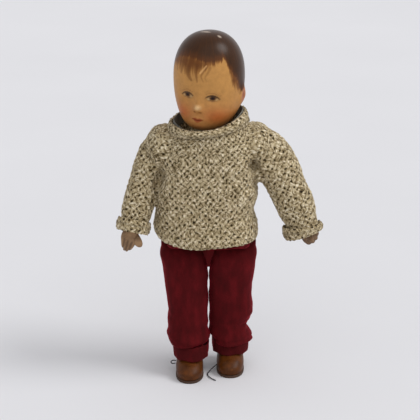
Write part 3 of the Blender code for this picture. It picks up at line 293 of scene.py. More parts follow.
def rubbed(points, faces, rounds):
    """Smooths a mesh by moving each point towards the middle of its neighbours."""
    ends = np.vstack([np.stack([faces[:, k], faces[:, (k + 1) % 4]], -1) for k in range(4)])
    one, other = ends.T
    count = np.bincount(one, minlength=len(points)) + np.bincount(other, minlength=len(points))
    for _ in range(rounds):
        near = np.stack([np.bincount(one, points[other, axis], len(points))
                         + np.bincount(other, points[one, axis], len(points)) for axis in range(3)], -1)
        points = (points + near / count[:, None]) / 2
    return points


def as_mesh(name, points, faces):
    mesh = bpy.data.meshes.new(name)
    mesh.from_pydata((points * MM).tolist(), [],
                     [row[:3] if row[2] == row[3] else row for row in faces.tolist()])
    mesh.shade_smooth()
    return mesh


VALUE_KINDS = {(): ("FLOAT", "value"), (3,): ("FLOAT_VECTOR", "vector"), (4,): ("FLOAT_COLOR", "color")}


def new_piece(name, points, faces, finish, slot, replaced=(), **values):
    """A piece with its rest places and any more values kept on its points."""
    mesh = as_mesh(name, points, faces)
    for label, data in {"rest": points, **values}.items():
        kind, field = VALUE_KINDS[np.shape(data)[1:]]
        mesh.attributes.new(label, kind, "POINT").data.foreach_set(field, np.ravel(data).astype(np.float32))
    mesh.materials.append(finish)
    made = bpy.data.objects.new(name, mesh)
    bpy.context.collection.objects.link(made)
    if replaced:
        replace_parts(made, *replaced)
    print("made", name, "with", len(faces), "faces")
    return made


def merged(parts, voxel):
    """One closed skin with even faces in the place of closed skins that overlap."""
    start, points, faces = 0, [], []
    for part_points, part_faces in parts:
        points.append(part_points)
        faces.append(part_faces + start)
        start += len(part_points)
    rough = bpy.data.objects.new("rough", as_mesh("rough", np.vstack(points), np.vstack(faces)))
    bpy.context.collection.objects.link(rough)
    even = rough.modifiers.new("even faces", "REMESH")
    even.mode, even.voxel_size = "VOXEL", voxel * MM
    mesh = rough.evaluated_get(bpy.context.evaluated_depsgraph_get()).to_mesh()
    points = np.empty(len(mesh.vertices) * 3, np.float32)
    mesh.vertices.foreach_get("co", points)
    corners = np.empty(len(mesh.loops), np.int32)
    mesh.loops.foreach_get("vertex_index", corners)
    bpy.data.objects.remove(rough)
    return points.reshape(-1, 3).astype(float) / MM, corners.reshape(-1, 4)


def solid_of(node):
    """A CAD node's own points and triangles."""
    mesh = frame["nodes"][node].data
    points = np.array([v.co for v in mesh.vertices]) / MM
    rows = [list(p.vertices) for p in mesh.polygons]
    return points, np.array([(row + row[-1:])[:4] for row in rows])


# %% [markdown]
# ## Laces
#
# Each shoe has a dark cotton lace. The left one has come loose: it drops from the side of the shoe and
# lies on the floor, about 35 mm of it. The right one shows only as a small loop. A lace is a curve with a
# round bevel, and its route is the CAD model's own.

# %% Lace routes
LACE_DIAMETER = 1.0
ANKLES = {"right": np.array((-28.66, -8.17, 0)), "left": np.array((12.74, 5.83, 0))}  # on the floor
LACE_ROUTES = {  # from the ankle
    "left": [(-13.9, -17.4, 6.6), (-16.3, -19.7, 5.4), (-19.2, -21.8, 3.4), (-21.7, -23.8, 1.6),
             (-23.2, -27.6, 0.8), (-22.4, -33.2, 0.8), (-19.7, -38.8, 0.8), (-15, -44.3, 0.8)],
    "right": [(-14.3, -5, 11.6), (-16.4, -5.6, 12.2), (-18.2, -6.4, 12), (-19.2, -6.9, 11),
              (-18.6, -7, 9.7), (-17, -6.6, 9), (-14.5, -6, 9.2)],
}


def smooth_route(stops, steps=3):
    """A smooth line through the stops, with points between them."""
    stops = np.array([2 * np.array(stops[0]) - stops[1], *stops, 2 * np.array(stops[-1]) - stops[-2]])
    line = []
    for a, b, c, d in zip(stops, stops[1:], stops[2:], stops[3:]):
        for t in np.arange(steps) / steps:
            line.append(b + (c - a) * t / 2 + (a - 2.5 * b + 2 * c - d / 2) * t ** 2
                        + (1.5 * (b - c) + (d - a) / 2) * t ** 3)
    return np.array([*line, stops[-2]])


# %% [markdown]
# ## Lace cotton
#
# Plaited mercerised cotton, dyed almost black: dull, with a faint light along the plait. The plait
# repeats about every 0.8 mm, which is too fine to show, so it is drawn at 1.6 mm.

# %% Lace cotton
PLAIT = 1.6
lace_cotton, tree, shader = start_material("lace_cotton_plaited", Roughness=0.8)
place = stretched(tree, object_place(tree), (MM, MM, MM))
plait = add(tree, "TexWave", {"Vector": place, "Scale": 1 / PLAIT, "Distortion": 1.5}).outputs["Fac"]
connect(tree, shader, Base_Color=tinted(tree, plait, (0, "#0d0c10"), (1, "#2a2830")),
        Normal=bumps(tree, plait, 0.4, 0.2))

for side in SIDES:
    route = smooth_route(LACE_ROUTES[side]) + ANKLES[side]
    curve = bpy.data.curves.new("lace_" + side, "CURVE")
    curve.dimensions, curve.bevel_depth, curve.bevel_resolution = "3D", LACE_DIAMETER / 2 * MM, 3
    curve.use_fill_caps = True
    spline = curve.splines.new("POLY")
    spline.points.add(len(route) - 1)
    for point, place in zip(spline.points, route):
        point.co = (*(place * MM), 1)
    curve.materials.append(lace_cotton)
    lace = bpy.data.objects.new("lace_cord_" + side, curve)
    bpy.context.collection.objects.link(lace)
    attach(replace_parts(lace, "lace_" + side), side + "_leg")

# %% [markdown]
# ## Tweed knit
#
# The pullover is hand knitted in moss stitch from a thick two-ply tweed yarn: beige with darker brown
# plies. Knit and purl change places from stitch to stitch, so small dark holes lie like a chessboard,
# about 3 mm to a square, and between them the yarn leans one way and then the other. Bumps and holes are
# real relief in the mesh. Each point keeps its relief and its place on the cloth, counted in stitches along
# the two diagonals, so that holes lie at whole numbers. The material draws the yarn from that place: plies
# 0.9 mm wide along one diagonal or the other. Its colour also has painted shade: pale where the yarn stands
# up and dark down in the holes.

# %% Tweed knit
PLY_WIDTH, PLY_LENGTH = 0.19, 0.8  # counted along a diagonal, from hole to hole
FLECK = 5
tweed, tree, shader = start_material("tweed_wool_hand_knitted", Roughness=0.95, Sheen_Weight=0.08,
                                     Sheen_Roughness=0.6, Specular_IOR_Level=0.1)
cloth = kept(tree, "cloth", "Vector")
leaning = [noise(tree, stretched(tree, cloth, size), 1, 1.0)
           for size in ((PLY_WIDTH, PLY_LENGTH, inf), (PLY_LENGTH, PLY_WIDTH, inf))]
squares = add(tree, "TexChecker", {"Vector": cloth, "Scale": 1.0}).outputs["Fac"]
plies = add(tree, "Mix", {0: squares, 2: leaning[0], 3: leaning[1]}).outputs[0]
holes = add(tree, "TexVoronoi", {"Vector": cloth, "Scale": 1.0, "Randomness": 0.0}, voronoi_dimensions="2D")
own = add(tree, "TexWhiteNoise", {"Vector": holes.outputs["Position"]}, noise_dimensions="2D")
# painted shade: the colour is darker in the middle of each hole, more in some holes than in others
depth = between(tree, holes.outputs["Distance"], 0.05, 0.28, -0.7, 0.0)
depth = calculate(tree, "MULTIPLY", depth, own.outputs["Value"])
uneven = between(tree, noise(tree, rest_place(tree), FLECK, 4.0), 0.3, 0.7, 0.42, 0.66)
# painted shade: the colour follows the relief, paler where a stitch stands up and darker where it sinks
shade = calculate(tree, "MULTIPLY_ADD", kept(tree, "knit"), 0.26, uneven)
shade = calculate(tree, "ADD", shade, between(tree, plies, 0.3, 0.7, -0.38, 0.38))
shade = calculate(tree, "ADD", shade, depth)
yarn = tinted(tree, shade, (0.0, "#241a0a"), (1.0, "#efe4cc"), (0.25, "#5f4e30"), (0.5, "#a08e6b"),
              (0.72, "#c6b591"))
connect(tree, shader, Base_Color=yarn, Normal=bumps(tree, plies, 0.9, 0.8))

STITCH = (3.2, 3.3)  # width and height of a stitch
KNIT_DEPTH = 1.0     # height of a stitch above and below the cloth's middle
KNIT_SINK = 0.3      # how much of that the cloth's middle lies lower
HOLE = 0.27          # size of the hole between four stitches, in stitches
UNEVEN = 0.27        # how far stitches are out of their places, in stitches
PATCH = 64           # the random numbers repeat after so many stitches
jitter = np.random.default_rng(11).uniform(-1, 1, (PATCH, PATCH, 4))


def jittered(a, b):
    """The random numbers of four neighbouring stitches, blended."""
    i, j = np.floor(a).astype(int), np.floor(b).astype(int)
    s, t = ease(a - i)[:, None], ease(b - j)[:, None]
    corner = [[jitter[(i + di) % PATCH, (j + dj) % PATCH] for dj in (0, 1)] for di in (0, 1)]
    return mix(mix(corner[0][0], corner[0][1], t), mix(corner[1][0], corner[1][1], t), s)


def moss_stitch(u, v):
    """Relief of moss stitch, -1 to 1, at places u, v on the cloth, and those places in stitches."""
    p, q = u / STITCH[0], v / STITCH[1]
    a, b = (p + q - 1) / 2, (p - q - 1) / 2
    own = jittered(a * 1.3, b * 1.3)
    a, b = a + UNEVEN * own[:, 0], b + UNEVEN * own[:, 1]  # no two stitches quite alike
    i, j = np.round(a), np.round(b)
    depth = 0.75 + 0.45 * jitter[i.astype(int) % PATCH, j.astype(int) % PATCH, 3]
    hole = depth * np.exp(-((a - i) ** 2 + (b - j) ** 2) / HOLE ** 2)
    rise = -(np.cos(tau * a) + np.cos(tau * b)) / 2
    return np.clip(0.2 + 0.4 * rise + 0.35 * own[:, 2] - 0.9 * hole, -1, 1), np.stack([a, b, 0 * a], -1)


def whole_stitches(length):
    """The length round a tube that takes a whole number of pairs of stitches."""
    return 2 * STITCH[0] * round(length / (2 * STITCH[0]))


def knitted(name, points, faces, relief, places, replaced=()):
    """A piece of the pullover with its stitches' relief and places."""
    return new_piece(name, points, faces, tweed, "tweed_knit", replaced, knit=relief, cloth=places)


print("tweed stitch", STITCH, "mm")

# %% [markdown]
# ## Pullover
#
# Body and sleeves are one garment, so they are made as one: three closed skins from the CAD model and two
# shoulder pads are merged into one body with even faces, and rubbed smooth so that the shoulders run into
# the sleeves. Then the stitches are raised, and the garment is cut again at the shoulder seams, because
# each sleeve has to bend between the trunk and its arm.

# %% The line of an arm
ARM = {  # bend radius, straight length, degrees out, forward and of the hand's turn, girth for the stitches
    "right": dict(bend=17.3, straight=59.0, splay=12, forward=17, turn_out=10, girth=15.0),
    "left": dict(bend=25.4, straight=60.0, splay=22, forward=6, turn_out=28, girth=21.5),
}
SLEEVE_SEAM = 11.4  # outside the shoulder joint


def arm_direction(side):
    splay, forward = radians(ARM[side]["splay"]), radians(ARM[side]["forward"])
    down = np.array((SIDES[side] * sin(splay), -sin(forward), -cos(splay) * cos(forward)))
    return down / np.linalg.norm(down)


def wrist_travel(side):
    """How far along the arm its wrist is."""
    turn = np.arccos(SIDES[side] * arm_direction(side)[0])
    return ARM[side]["bend"] * turn + ARM[side]["straight"]


def arm_frame(side, travel):
    """Middle, heading, upward and sideways of an arm, counted along it from the sleeve's seam."""
    out, down, bend = SIDES[side] * X, arm_direction(side), ARM[side]["bend"]
    turn = np.arccos(out @ down)
    inward = down - out * (out @ down)
    inward /= np.linalg.norm(inward)
    angle = min(max(travel / bend, 0), turn)
    heading = out * cos(angle) + inward * sin(angle)
    upward = out * sin(angle) - inward * cos(angle)
    middle = JOINT[side + "_shoulder"] + out * (SLEEVE_SEAM + bend * sin(angle))
    middle = middle + inward * bend * (1 - cos(angle))
    middle = middle + heading * (min(travel, 0) + max(travel - bend * turn, 0))
    return middle, heading, upward, np.cross(heading, upward)


print("wrists at", {side: arm_frame(side, wrist_travel(side))[0].round(1).tolist() for side in SIDES})

# %% One skin for the pullover
COLLAR_BACK, COLLAR_DROP, COLLAR_LEAN = 5.0, 6.0, 5.5  # up behind, down in front, up on the left
HEM, NECK = 142.0, 252.4  # heights of the pullover's two ends, the neck's at its sides
NECK_RADIUS = 37.7
NECK_FRONT = 5.0          # how much higher the body reaches in front, under the collar's roll
NECK_INTO_COLLAR = 2.5    # how far the body reaches into the collar
RINGS_TOP, RINGS_STEP = 246, 2.6
VOXEL = 1.2
BODY_SIDES, SLEEVE_SIDES, SLEEVE_ROWS = 120, 72, 44
BLOUSE = {  # the body's extra width by height, where it hangs over itself
    "right": [(142, 0), (148, 5), (154, 7.6), (160, 8.2), (172, 8.4), (180, 7.6), (190, 6), (199, 4),
              (206, 1.5), (212, 0)],
    "left": [(142, 0), (150, 1.5), (159, 3), (168, 1), (175, 1), (184, 4), (190, 5.5), (196, 4), (206, 0)],
}
SWAY = {  # how far the sleeve hangs to the doll's left of the arm, by height
    "right": [(164, -1), (174, -2), (190, -0.5), (206, 1), (215, 2), (224, 2.7), (234, 2), (246, 0)],
    "left": [(164, 4), (174, 5), (190, 4), (206, 1), (215, -1), (232, -3.5), (245, -3), (256, 0)],
}
UNDERARM = {  # the sleeve's extra width towards the body, by height
    "right": [(160, 4), (175, 4.5), (190, 2), (197, 0)],
    "left": [(160, 0), (190, 0)],
}
SLEEVE_ROOT = ((20, 0.75), (9, 0.95))  # how deep in the body a sleeve goes on, and how wide
SHOULDERS = {"right": (44, 2, 236), "left": (46, 2, 238)}  # middles of the pads under the shoulder seams
SHOULDER_HALF = np.array((18.0, 30.0, 21.0))


def collar_lift(turn, drop):
    """How much higher the neck's edge stands at an angle: low in front, high behind and on the left."""
    push = np.where(np.sin(turn) > 0, COLLAR_BACK, -drop)
    return push * np.sin(turn) ** 2 + COLLAR_LEAN * np.cos(turn)


def neck_edge(turn):
    """Height of the body's upper edge at an angle."""
    return NECK + collar_lift(turn, COLLAR_DROP) + NECK_FRONT * np.maximum(0, -np.sin(turn))


def sway(side, points):
    """Points of an arm or sleeve, moved as the sleeve hangs."""
    moved = points.copy()
    moved[..., 0] += read_off(SWAY[side], points[..., 2])
    return moved


turns = full_turn(BODY_SIDES)
levels = np.arange(HEM + 0.4, RINGS_TOP, RINGS_STEP)
body_rings = skin("sweater_body", [MIDDLE + Z * level for level in levels], BODY_SIDES)
neck_ring = MIDDLE + np.stack([NECK_RADIUS * np.cos(turns), NECK_RADIUS * np.sin(turns),
                               neck_edge(turns) + NECK_INTO_COLLAR], -1)
body_rings = soften(np.concatenate([body_rings, neck_ring[None]]), around=8, along=2)
for side, sign in SIDES.items():
    swell = read_off(BLOUSE[side], body_rings[:, 0, 2])
    body_rings[:, :, 0] += sign * swell[:, None] * np.maximum(0, sign * np.cos(turns)) ** 0.7
own_parts = {"body": loft(body_rings, caps=(True, True))}
parts = [own_parts["body"]]
ball = np.array([[(sin(tilt) * cos(turn), sin(tilt) * sin(turn), -cos(tilt)) for turn in full_turn(48)]
                 for tilt in np.linspace(0.05, pi - 0.05, 30)])
for side, sign in SIDES.items():
    frames = [arm_frame(side, travel) for travel in np.linspace(0.8, wrist_travel(side) - 1, SLEEVE_ROWS)]
    middles, _, upward, sideways = np.array(frames).transpose(1, 0, 2)
    rings = skin("sleeve_" + side, middles, SLEEVE_SIDES, upward, sideways, reach=45)
    facing = np.maximum(0, -sign * (rings - middles[:, None])[:, :, 0]) / ARM[side]["girth"]
    rings[:, :, 0] -= sign * facing * read_off(UNDERARM[side], rings[:, :, 2])
    rings = sway(side, rings)
    root = middles[0]
    inside = [root - sign * X * depth + (rings[0] - root) * size for depth, size in SLEEVE_ROOT]
    rings = soften(np.concatenate([inside, rings]), around=8, along=3)
    own_parts[side] = loft(rings, caps=(True, True))
    pad = ball * SHOULDER_HALF + MIDDLE + np.array(SHOULDERS[side]) * (sign, 1, 1)
    parts += [own_parts[side], loft(pad, caps=(True, True))]
points, faces = merged(parts, VOXEL)
points = rubbed(points, faces, 12)
print("pullover has", len(faces), "faces before it is cut")

# %% [markdown]
# The hem and the neck are open on the real garment. Here the flat ends of the merged body are pushed in,
# which leaves a rim as thick as the knit and a dark space behind it. Where the arm meets the chest the
# cloth is pinched into a crease, and it hangs in shallow folds from there.

# %% Openings and creases
RIM, RIM_EDGE = 3.4, 1.5
RECESS = 12.0             # how far one can look into the hem and the neck
BODY_HALF = 53            # further out than this are the sleeves
SAG, SAG_AT = 2.4, -13.0  # how much lower the hem hangs in front, and where
SAG_TOP = 168
FOLDS = [  # two ends in the front view, reach and depth of each crease
    ((44, 223), (49, 214), 3.2, 8.5), ((49, 214), (55, 203), 3.0, 2.6), ((26, 210), (46, 219), 4.0, 1.0),
    ((30, 196), (47, 205), 4.5, 1.4), ((34, 183), (50, 193), 4.0, 1.2), ((-44, 214), (-50, 200), 3.5, 2.0),
    ((-28, 204), (-44, 212), 5.0, 0.9),
]


def ring_radius(ring, turn):
    """How far out one of the body's rings is at an angle."""
    return np.interp(turn, turns, np.hypot(*(ring - MIDDLE)[:, :2].T), period=tau)


flat = points - MIDDLE
side_of = flat[:, 0]
turn_of = np.arctan2(flat[:, 1], side_of)
out_of = np.hypot(side_of, flat[:, 1])
near = np.abs(side_of) < BODY_HALF
inward = ease((ring_radius(body_rings[0], turn_of) - RIM - out_of) / RIM_EDGE)
points[:, 2] += RECESS * inward * (points[:, 2] < HEM + 2) * near
inward = ease((NECK_RADIUS - RIM - out_of) / RIM_EDGE)
points[:, 2] -= RECESS * inward * (points[:, 2] > neck_edge(turn_of) - 6)

sag = np.exp(-((side_of - SAG_AT) / 24) ** 2) * ease((SAG_TOP - points[:, 2]) / 26)
points[:, 2] -= SAG * sag * ease(-flat[:, 1] / 15) * near

outward = normals_of(points, faces)
for first, last, reach, depth in FOLDS:
    way = np.subtract(last, first)
    share = np.clip(((flat[:, [0, 2]] - first) @ way) / (way @ way), 0, 1)
    away = np.linalg.norm(flat[:, [0, 2]] - first - share[:, None] * way, axis=1)
    points -= outward * (depth * np.exp(-(away / reach) ** 2) * (flat[:, 1] < 5))[:, None]
print("pressed", len(FOLDS), "creases into the pullover")

# %% [markdown]
# Below the armpit a sleeve only lies against the body. There each point goes back to the nearer of the two
# skins, which leaves a sharp crease between them, so that the sleeve can come away cleanly.

# %% Sleeve or body
SEAM_X = SLEEVE_SEAM + abs(JOINT["left_shoulder"][0] - MIDDLE[0])
ARMPIT = {"right": 205.0, "left": 197.0}  # below this the nearer skin counts, not the seam
CREASE = 3.2                              # how near the other skin the crease begins
skins = {label: BVHTree.FromPolygons(part[0].tolist(), part[1].tolist()) for label, part in own_parts.items()}
in_sleeve = np.zeros(len(points), bool)
for side, sign in SIDES.items():
    for number in np.flatnonzero(sign * side_of > SEAM_X - 2):
        in_sleeve[number] = sign * side_of[number] > SEAM_X
        if points[number, 2] < ARMPIT[side]:
            on_sleeve = skins[side].find_nearest(Vector(points[number]))
            on_body = skins["body"].find_nearest(Vector(points[number]))
            in_sleeve[number] = on_sleeve[3] < on_body[3]
            own, other = (on_sleeve, on_body) if in_sleeve[number] else (on_body, on_sleeve)
            points[number] = mix(points[number], np.array(own[0]), ease((CREASE - other[3]) / 2))
outward = normals_of(points, faces)
print("sleeves have", in_sleeve.sum(), "points of", len(points))

# %% [markdown]
# Each part of the garment has its own stitch grid. The body's runs round it and up, and its width is
# stretched a little so that a whole number of stitches goes round. A sleeve's runs across the arm and along
# it, laid on from the front, from the side or from above, whichever the cloth faces most. At the seams the
# relief fades out.

# %% Stitches, seams and pieces
SLEEVE_HALF = 15.0             # half the width of a sleeve, where its front and its sides meet
SHOULDER_SLOPE = 235           # above this the body's stitches also run inwards
SEAM_WIDTH, SEAM_SINK = 1.2, 0.2
SEAM_LOW = 197                 # the shoulder seams end at this height
waist = body_rings[len(levels) // 2]
girth = np.concatenate([[0], np.cumsum(np.linalg.norm(np.roll(waist, -1, 0) - waist, axis=1))])
girth *= whole_stitches(girth[-1]) / girth[-1]


def stitches(part, places, facing):
    """Relief and place on the cloth of a part's points, from their places and where they face."""
    if part == "body":
        x, y = (places - MIDDLE)[:, :2].T
        turn = np.arctan2(y, x)
        u = np.interp((turn - pi / 2) % tau, np.linspace(0, tau, BODY_SIDES + 1), girth)  # from the back
        slope = np.maximum(ring_radius(waist, turn) - np.hypot(x, y), 0)
        return moss_stitch(u, places[:, 2] + np.where(places[:, 2] > SHOULDER_SLOPE, slope, 0))
    wrist, heading = arm_frame(part, wrist_travel(part))[:2]
    over = X - heading * heading[0]
    over /= np.linalg.norm(over)
    axes = np.array((over, heading, np.cross(heading, over))).T  # across, along and towards the front
    across, along, ahead = ((places - wrist) @ axes).T
    facing, shoulder = facing @ axes, (JOINT[part + "_shoulder"] - wrist) @ axes
    flat_on = np.abs(facing[:, 2]) >= 0.9 * np.abs(facing[:, :2]).max(1)
    above = ~flat_on & (np.abs(facing[:, 1]) >= np.abs(facing[:, 0]))
    beside = np.sign(facing[:, 0]) * (2 * SLEEVE_HALF - ahead)
    return moss_stitch(np.where(flat_on | above, across, beside),
                       np.where(above, shoulder[1] + shoulder[2] - ahead, along))


def hang(piece, part):
    """Fixes the pullover's body to the trunk; a sleeve is only set in place, fixed to nothing."""
    if part == "body":
        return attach(piece, "trunk")
    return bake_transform(piece)


face_sleeve, face_side = in_sleeve[faces].mean(1) > 0.5, side_of[faces].mean(1)
at_seam = np.exp(-((np.abs(side_of) - SEAM_X) / SEAM_WIDTH) ** 2) * (points[:, 2] > SEAM_LOW)
for part, chosen, name, node in (
        ("body", ~face_sleeve, "pullover_body", "sweater_body"),
        ("right", face_sleeve & (face_side < 0), "pullover_sleeve_right", "sleeve_right"),
        ("left", face_sleeve & (face_side > 0), "pullover_sleeve_left", "sleeve_left")):
    used, own_faces = np.unique(faces[chosen], return_inverse=True)
    relief, places = stitches(part, points[used], outward[used])
    relief = relief * (1 - at_seam[used])
    raised = KNIT_DEPTH * (relief - KNIT_SINK) - SEAM_SINK * at_seam[used]
    own = points[used] + outward[used] * raised[:, None]
    hang(knitted(name, own, own_faces.reshape(-1, 4), relief, places, [node]), part)

# %% [markdown]
# Where a sleeve lies against the body, the merged skin has neither the body's side nor the sleeve's inside.
# Both show once the arm moves, so they are put back as patches, cut from the two skins just under the rest.

# %% Under the arms
PATCH_OVERLAP, PATCH_DEPTH, PATCH_SLOPE = 6.0, 0.8, 0.3  # a patch's border goes deeper
PATCH_RISE = 4                                           # how far above the armpit a patch reaches
for side, sign in SIDES.items():
    for part, other, name in (("body", side, "pullover_side_" + side),
                              (side, "body", "pullover_underarm_" + side)):
        own, own_faces = own_parts[part]
        facing = normals_of(own, own_faces)
        inside = (own[:, 2] < ARMPIT[side] + PATCH_RISE) & (sign * (own[:, 0] - MIDDLE[0]) > 0)
        outside_by = np.zeros(len(own))
        for number in np.flatnonzero(inside):
            near, normal = skins[other].find_nearest(Vector(own[number]))[:2]
            outside_by[number] = (Vector(own[number]) - near).dot(normal)
        inside &= outside_by < PATCH_OVERLAP
        depth = PATCH_DEPTH + PATCH_SLOPE * np.maximum(outside_by, 0)
        used, own_faces = np.unique(own_faces[inside[own_faces].all(1)], return_inverse=True)
        relief, places = stitches(part, own[used], facing[used])
        patch = own[used] - depth[used, None] * facing[used]
        hang(knitted(name, patch, own_faces.reshape(-1, 4), relief, places), part)

# %% [markdown]
# ## Collar and cuffs
#
# The collar is a short rolled band and each cuff is turned back over the sleeve. Such a band is a ring
# whose section is a flat rounded slab. Rays from outside and from inside find the CAD band's two walls, and
# the section is drawn between them.

# %% Bands
BAND_DEPTH = 0.6   # stitches lie flatter where the band is rolled
BAND_REACH = 80
SECTION_STEPS = np.linspace(0.06, 0.94, 8)  # where the walls are looked for, as shares of the height


def superellipse(share, squareness):
    return np.sign(share) * abs(share) ** (2 / squareness)


def band(node, origin, low, high, sides, rows, across=X, along=Y, squareness=3.0, below=0.0):
    """A rounded band between the two walls of a CAD band; low and high are its edges' heights, and it
    reaches a little further below."""
    tree, axis = cad_tree(node), np.cross(across, along)
    spokes = spokes_of(sides, across, along)
    low, high = np.broadcast_to(low, sides), np.broadcast_to(high, sides)
    walls = []
    for share in SECTION_STEPS:
        found = np.empty((2, sides))
        for step, spoke in enumerate(spokes):
            middle = origin + axis * mix(low[step], high[step], share)
            found[0, step] = hit_distance(tree, middle, spoke, middle, spoke)
            found[1, step] = hit_distance(tree, middle, spoke, middle + BAND_REACH * spoke, -spoke)
        walls.append([fill_ring(found[0]), fill_ring(found[1])])
    walls = soften(np.array(walls).transpose(0, 2, 1), around=6, along=1)
    rings = []
    for turn in full_turn(rows):
        side = superellipse(cos(turn), squareness)
        share = 0.5 + 0.5 * superellipse(sin(turn), squareness)
        place = (share - SECTION_STEPS[0]) / (SECTION_STEPS[1] - SECTION_STEPS[0])
        place = np.clip(place, 0, len(SECTION_STEPS) - 1.001)
        here = mix(walls[int(place)], walls[int(place) + 1], place % 1)
        far = mix(here.mean(1), here[:, 1], side)
        rings.append(origin + np.outer(mix(low - below, high, share), axis) + spokes * far[:, None])
    return np.array(rings[::-1])


def knit_band(name, rings, node, body, girth_radius, seam=0.25):
    """A knitted band: stitches run round it, from a seam, and over its edges."""
    rows, sides = rings.shape[:2]
    points, faces = loft(rings, loop=True)
    outward = normals_of(points, faces)
    run = np.concatenate([[0], np.cumsum(np.linalg.norm(np.diff(rings, axis=0), axis=2).mean(1))])
    u = np.tile((np.arange(sides) / sides - seam) % 1 * whole_stitches(tau * girth_radius), rows)
    relief, places = moss_stitch(u, np.repeat(run, sides))
    points = points + outward * (BAND_DEPTH * (relief - KNIT_SINK))[:, None]
    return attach(knitted(name, points, faces, relief, places, [node]), body)


# %% Collar and cuffs
COLLAR_BASE, COLLAR_HEIGHT, COLLAR_SIDES, COLLAR_GIRTH = 253.4, 13.0, 210, 39
COLLAR_BELOW = 3.0               # how much further down the collar reaches behind and at its sides
COLLAR_ROLL = 2.0                # how far its lower edge stands out in front
HUG, HUG_AT = 2.2, radians(-40)  # how far the collar leans in to the cheek, and at which angle
CUFF_HEIGHT, CUFF_SIDES = 12.0, 110
CUFF_HANG = {"right": (0.0, 0 * X), "left": (radians(9.5), 3.2 * X - 4.6 * Z)}  # tilt and shift on the sleeve
CUFF_FOLD = 7.0  # how far the cuff's inside reaches in at half its height, to meet the sleeve
CUFF_FLATTER = {"right": 0.0, "left": 0.3}  # how much less tall its outer end is than its middle


def height_over_edge(rings):
    """How high each point is over the lowest one at its angle."""
    return rings[..., 2] - rings[..., 2].min(0)


def hugged(rings, hug):
    """A collar's rings, with its upper edge leaning in at the doll's left cheek."""
    off = rings - MIDDLE
    near = np.maximum(0, np.cos(np.arctan2(off[..., 1], off[..., 0]) - HUG_AT)) ** 1.5
    high = ease(height_over_edge(rings) / 12)
    return rings - (hug * near * high)[..., None] * np.array((cos(HUG_AT), sin(HUG_AT), 0))


round_neck = full_turn(COLLAR_SIDES)
edge, front = COLLAR_BASE + collar_lift(round_neck, COLLAR_DROP), np.maximum(0, -np.sin(round_neck))
rings = band("sweater_collar", MIDDLE, edge, edge + COLLAR_HEIGHT, COLLAR_SIDES, 32, squareness=2.6,
             below=mix(COLLAR_BELOW, -NECK_FRONT - 1.5, front))
off = (rings - MIDDLE) * (1, 1, 0)
spread = ease((np.hypot(off[..., 0], off[..., 1]) - NECK_RADIUS) / 3) * front
low = 1 - ease(height_over_edge(rings) / 7)
rings = rings + off / NECK_RADIUS * (COLLAR_ROLL * spread * (0.5 + 0.5 * low))[..., None]
knit_band("pullover_collar", hugged(rings, HUG), "sweater_collar", "trunk", COLLAR_GIRTH)
for side, sign in SIDES.items():
    wrist, heading, upward, sideways = arm_frame(side, wrist_travel(side))
    rings = band("sleeve_cuff_" + side, wrist, -CUFF_HEIGHT, 0.5, CUFF_SIDES, 30, upward, sideways,
                 squareness=2.6) - wrist
    spoke = rings - (rings @ heading)[..., None] * heading
    radius = np.linalg.norm(spoke, axis=2)
    half_up = np.exp(-((rings @ heading / CUFF_HEIGHT + 0.5) / 0.2) ** 2)
    folded = CUFF_FOLD * ease((radius.mean(0) - radius) / 1.5) * half_up
    rings = rings - spoke / radius[..., None] * folded[..., None]
    along = rings @ heading + CUFF_HEIGHT / 2
    outer = (rings @ upward) / ARM[side]["girth"]
    rings = rings - (CUFF_FLATTER[side] * (0.7 + outer) * along)[..., None] * heading
    tilt, shift = CUFF_HANG[side]
    rings = spun(rings, tilt, 2, 0) + wrist + shift
    knit_band("pullover_cuff_" + side, rings, "sleeve_cuff_" + side, side + "_arm", ARM[side]["girth"],
              seam=0.5 + 0.25 * sign)

# %% [markdown]
# ## Shirt
#
# Inside the pullover's collar a plain grey cotton collar shows. Fine poplin has about 30 threads to the
# centimetre; that is too fine to show, so the weave is drawn at 0.9 mm.

# %% Shirt cotton and collar
DYE_PATCH = 9


def woven(name, dark, light, thread, roughness, depth, **sockets):
    """A plain weave: two crossing waves on the cloth, with uneven dye, and painted shade where a piece carries
    any.
    """
    made, tree, shader = start_material(name, Roughness=roughness, **sockets)
    place = rest_place(tree)
    threads = {"Vector": place, "Scale": 1 / thread / 3, "Distortion": 1.0}
    warp = add(tree, "TexWave", threads, bands_direction="DIAGONAL").outputs["Fac"]
    weft = add(tree, "TexWave", threads, bands_direction="Z").outputs["Fac"]
    weave = calculate(tree, "MULTIPLY", warp, weft)
    shade = calculate(tree, "MULTIPLY_ADD", weave, 0.35, noise(tree, place, DYE_PATCH, 4.0))
    # painted shade: darker where a piece carries it, as on the hands
    shade = calculate(tree, "MULTIPLY_ADD", kept(tree, "soil"), -0.45, shade)
    connect(tree, shader, Base_Color=tinted(tree, shade, (0.3, dark), (0.85, light)),
            Normal=bumps(tree, weave, 0.5, depth))
    return made


shirt_cotton = woven("cotton_poplin_grey", "#4c4b44", "#7b786d", 0.9, 0.85, 0.2, Sheen_Weight=0.1)
SHIRT_DROP, SHIRT_BASE, SHIRT_HEIGHT, SHIRT_SIDES = 11.0, 255.4, 12.8, 160
SHIRT_HUG = 0.8  # less than the pullover's, since the chin passes close by when the head turns
edge = SHIRT_BASE + collar_lift(full_turn(SHIRT_SIDES), SHIRT_DROP)
rings = band("shirt_collar", MIDDLE, edge, edge + SHIRT_HEIGHT, SHIRT_SIDES, 26, squareness=4)
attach(new_piece("shirt_collar_cloth", *loft(hugged(rings, SHIRT_HUG), loop=True), shirt_cotton,
                  "shirt_cotton", ["shirt_collar"]), "trunk")
